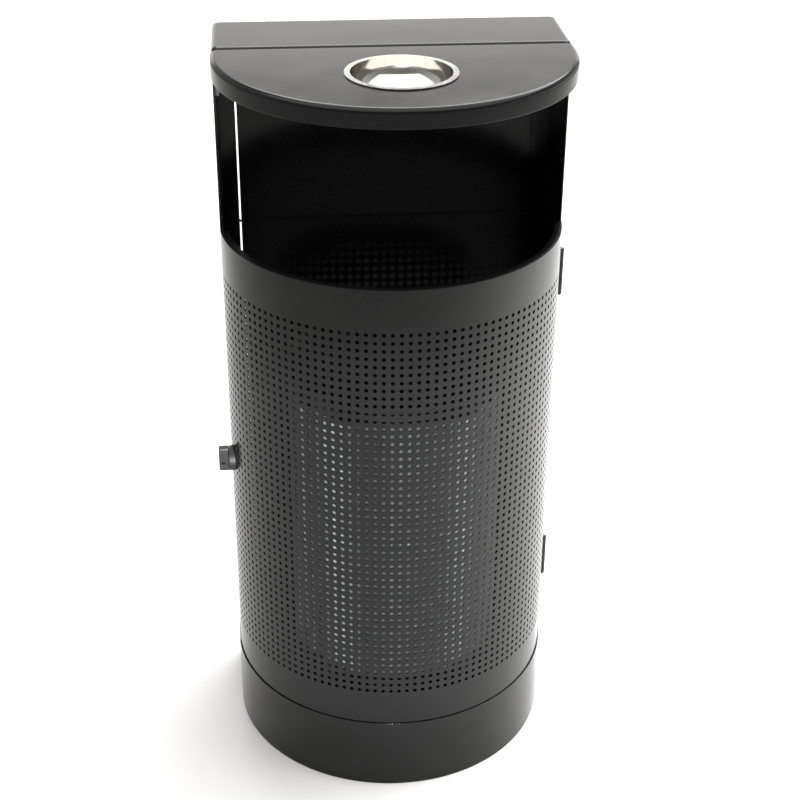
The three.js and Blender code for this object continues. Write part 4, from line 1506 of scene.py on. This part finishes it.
@dataclass
class Studio:
    """Pale floor, soft light and the camera."""

    camera_at: Point3 = (-0.1540, -1.7297, 1.4308)
    pan: float = 0.095
    tilt: float = 0.506
    roll: float = 0.008
    lens: float = 70.72
    sensor: float = 36.0
    sky_back: float = 0.5
    sky_front: float = 0.2
    floor_reach: float = 20.0
    floor_z: float = -0.0004
    lamps: list[Lamp | Spotlight] = field(default_factory=lambda: [
        Lamp("rear_window", (0.2, 4.2, 1.27), (0.2, 0.0, 1.27), 4.6, 1.94, 1.25, "fffdf4"),
        Lamp("rear_ceiling_softbox", (0.5, 2.0, 2.45), (0.5, 2.0, 0.0), 2.2, 2.7, 5.4),
        Lamp("overhead_softbox", (0.0, -0.6, 2.1), (0.0, -0.5, 0.9), 3.6, 2.0, 1.7, "fffdfa"),
        Lamp("right_floor_softbox", (1.2, -0.05, 0.95), (1.2, -0.05, 0.0), 1.0, 1.4, 8.0),
        Spotlight("front_spotlight", (-0.14, -2.8, 0.8), (0.0, 0.0, 0.34), 700.0, 13.0, 0.03),
    ])

    def build(self) -> None:
        """Build the floor, the sky, the lamps and the camera."""
        mesh = bpy.data.meshes.new("studio_floor")
        corners = [(x * self.floor_reach, y * self.floor_reach, self.floor_z)
                   for x, y in ((-1, -1), (1, -1), (1, 1), (-1, 1))]
        mesh.from_pydata(corners, [], [(0, 1, 2, 3)])
        mesh.materials.append(StudioPaint().build())
        floor = show("studio_floor", mesh)
        self.build_sky()
        for lamp in self.lamps:
            lamp.build()
        self.build_camera()
        bpy.context.scene.view_settings.view_transform = "Standard"

    def build_sky(self) -> None:
        """Light the room evenly, brighter at the back than at the front."""
        world = bpy.data.worlds.new("studio_sky")
        world.use_nodes = True
        tree = world.node_tree
        tree.nodes.clear()
        way = add_node(tree, "ShaderNodeSeparateXYZ", {
            "Vector": add_node(tree, "ShaderNodeTexCoord").outputs["Generated"]})
        level = add_node(tree, "ShaderNodeMapRange", {
            "Value": way.outputs["Y"], "From Min": -0.9, "From Max": 0.3,
            "To Min": self.sky_front, "To Max": self.sky_back}, interpolation_type="SMOOTHSTEP")
        glow = add_node(tree, "ShaderNodeBackground", {
            "Color": linear("ffffff"), "Strength": level.outputs["Result"]})
        add_node(tree, "ShaderNodeOutputWorld", {"Surface": glow.outputs["Background"]})
        bpy.context.scene.world = world

    def build_camera(self) -> None:
        """Set the camera up where the bin is seen from the front, above and a little to the left."""
        lens = bpy.data.cameras.new("front_view")
        lens.lens = self.lens
        lens.sensor_width = self.sensor
        camera = show("front_view", lens)
        level_share = math.cos(self.tilt)
        ahead = Vector((math.sin(self.pan) * level_share, math.cos(self.pan) * level_share,
                        -math.sin(self.tilt)))
        level = Vector((math.cos(self.pan), -math.sin(self.pan), 0.0))
        upright = level.cross(ahead)
        right = math.cos(self.roll) * level + math.sin(self.roll) * upright
        up = -math.sin(self.roll) * level + math.cos(self.roll) * upright
        turn = Matrix((right, up, -ahead)).transposed().to_4x4()
        camera.matrix_world = Matrix.Translation(self.camera_at) @ turn
        bpy.context.scene.camera = camera


def main() -> None:
    """Build every sub-assembly, then the studio."""
    logging.basicConfig(level=logging.INFO, format="%(message)s")
    palette = Palette({
        Slot.COAT: PowderCoat(),
        Slot.STAINLESS: PolishedStainless(centre_mm=(0.0, AshBowl.centre_y, 0.0)),
        Slot.GALVANISED: HotDipGalvanised(),
        Slot.ZINC: ZincPlate(),
        Slot.NYLON: TexturedPolymer("glass_filled_nylon", "161617", "1f1f20", 0.5, 0.8, 0.03),
        Slot.RUBBER: TexturedPolymer("epdm_rubber", "141414", "1d1d1d", 0.75, 1.2, 0.05),
    })
    for assembly in (Plinth, Housing, Hoods, AshBowl, LinerShelf, Door, Hinges, Latch, Liner):
        assembly(palette).build()
    Studio().build()


if __name__ == "__main__":
    main()
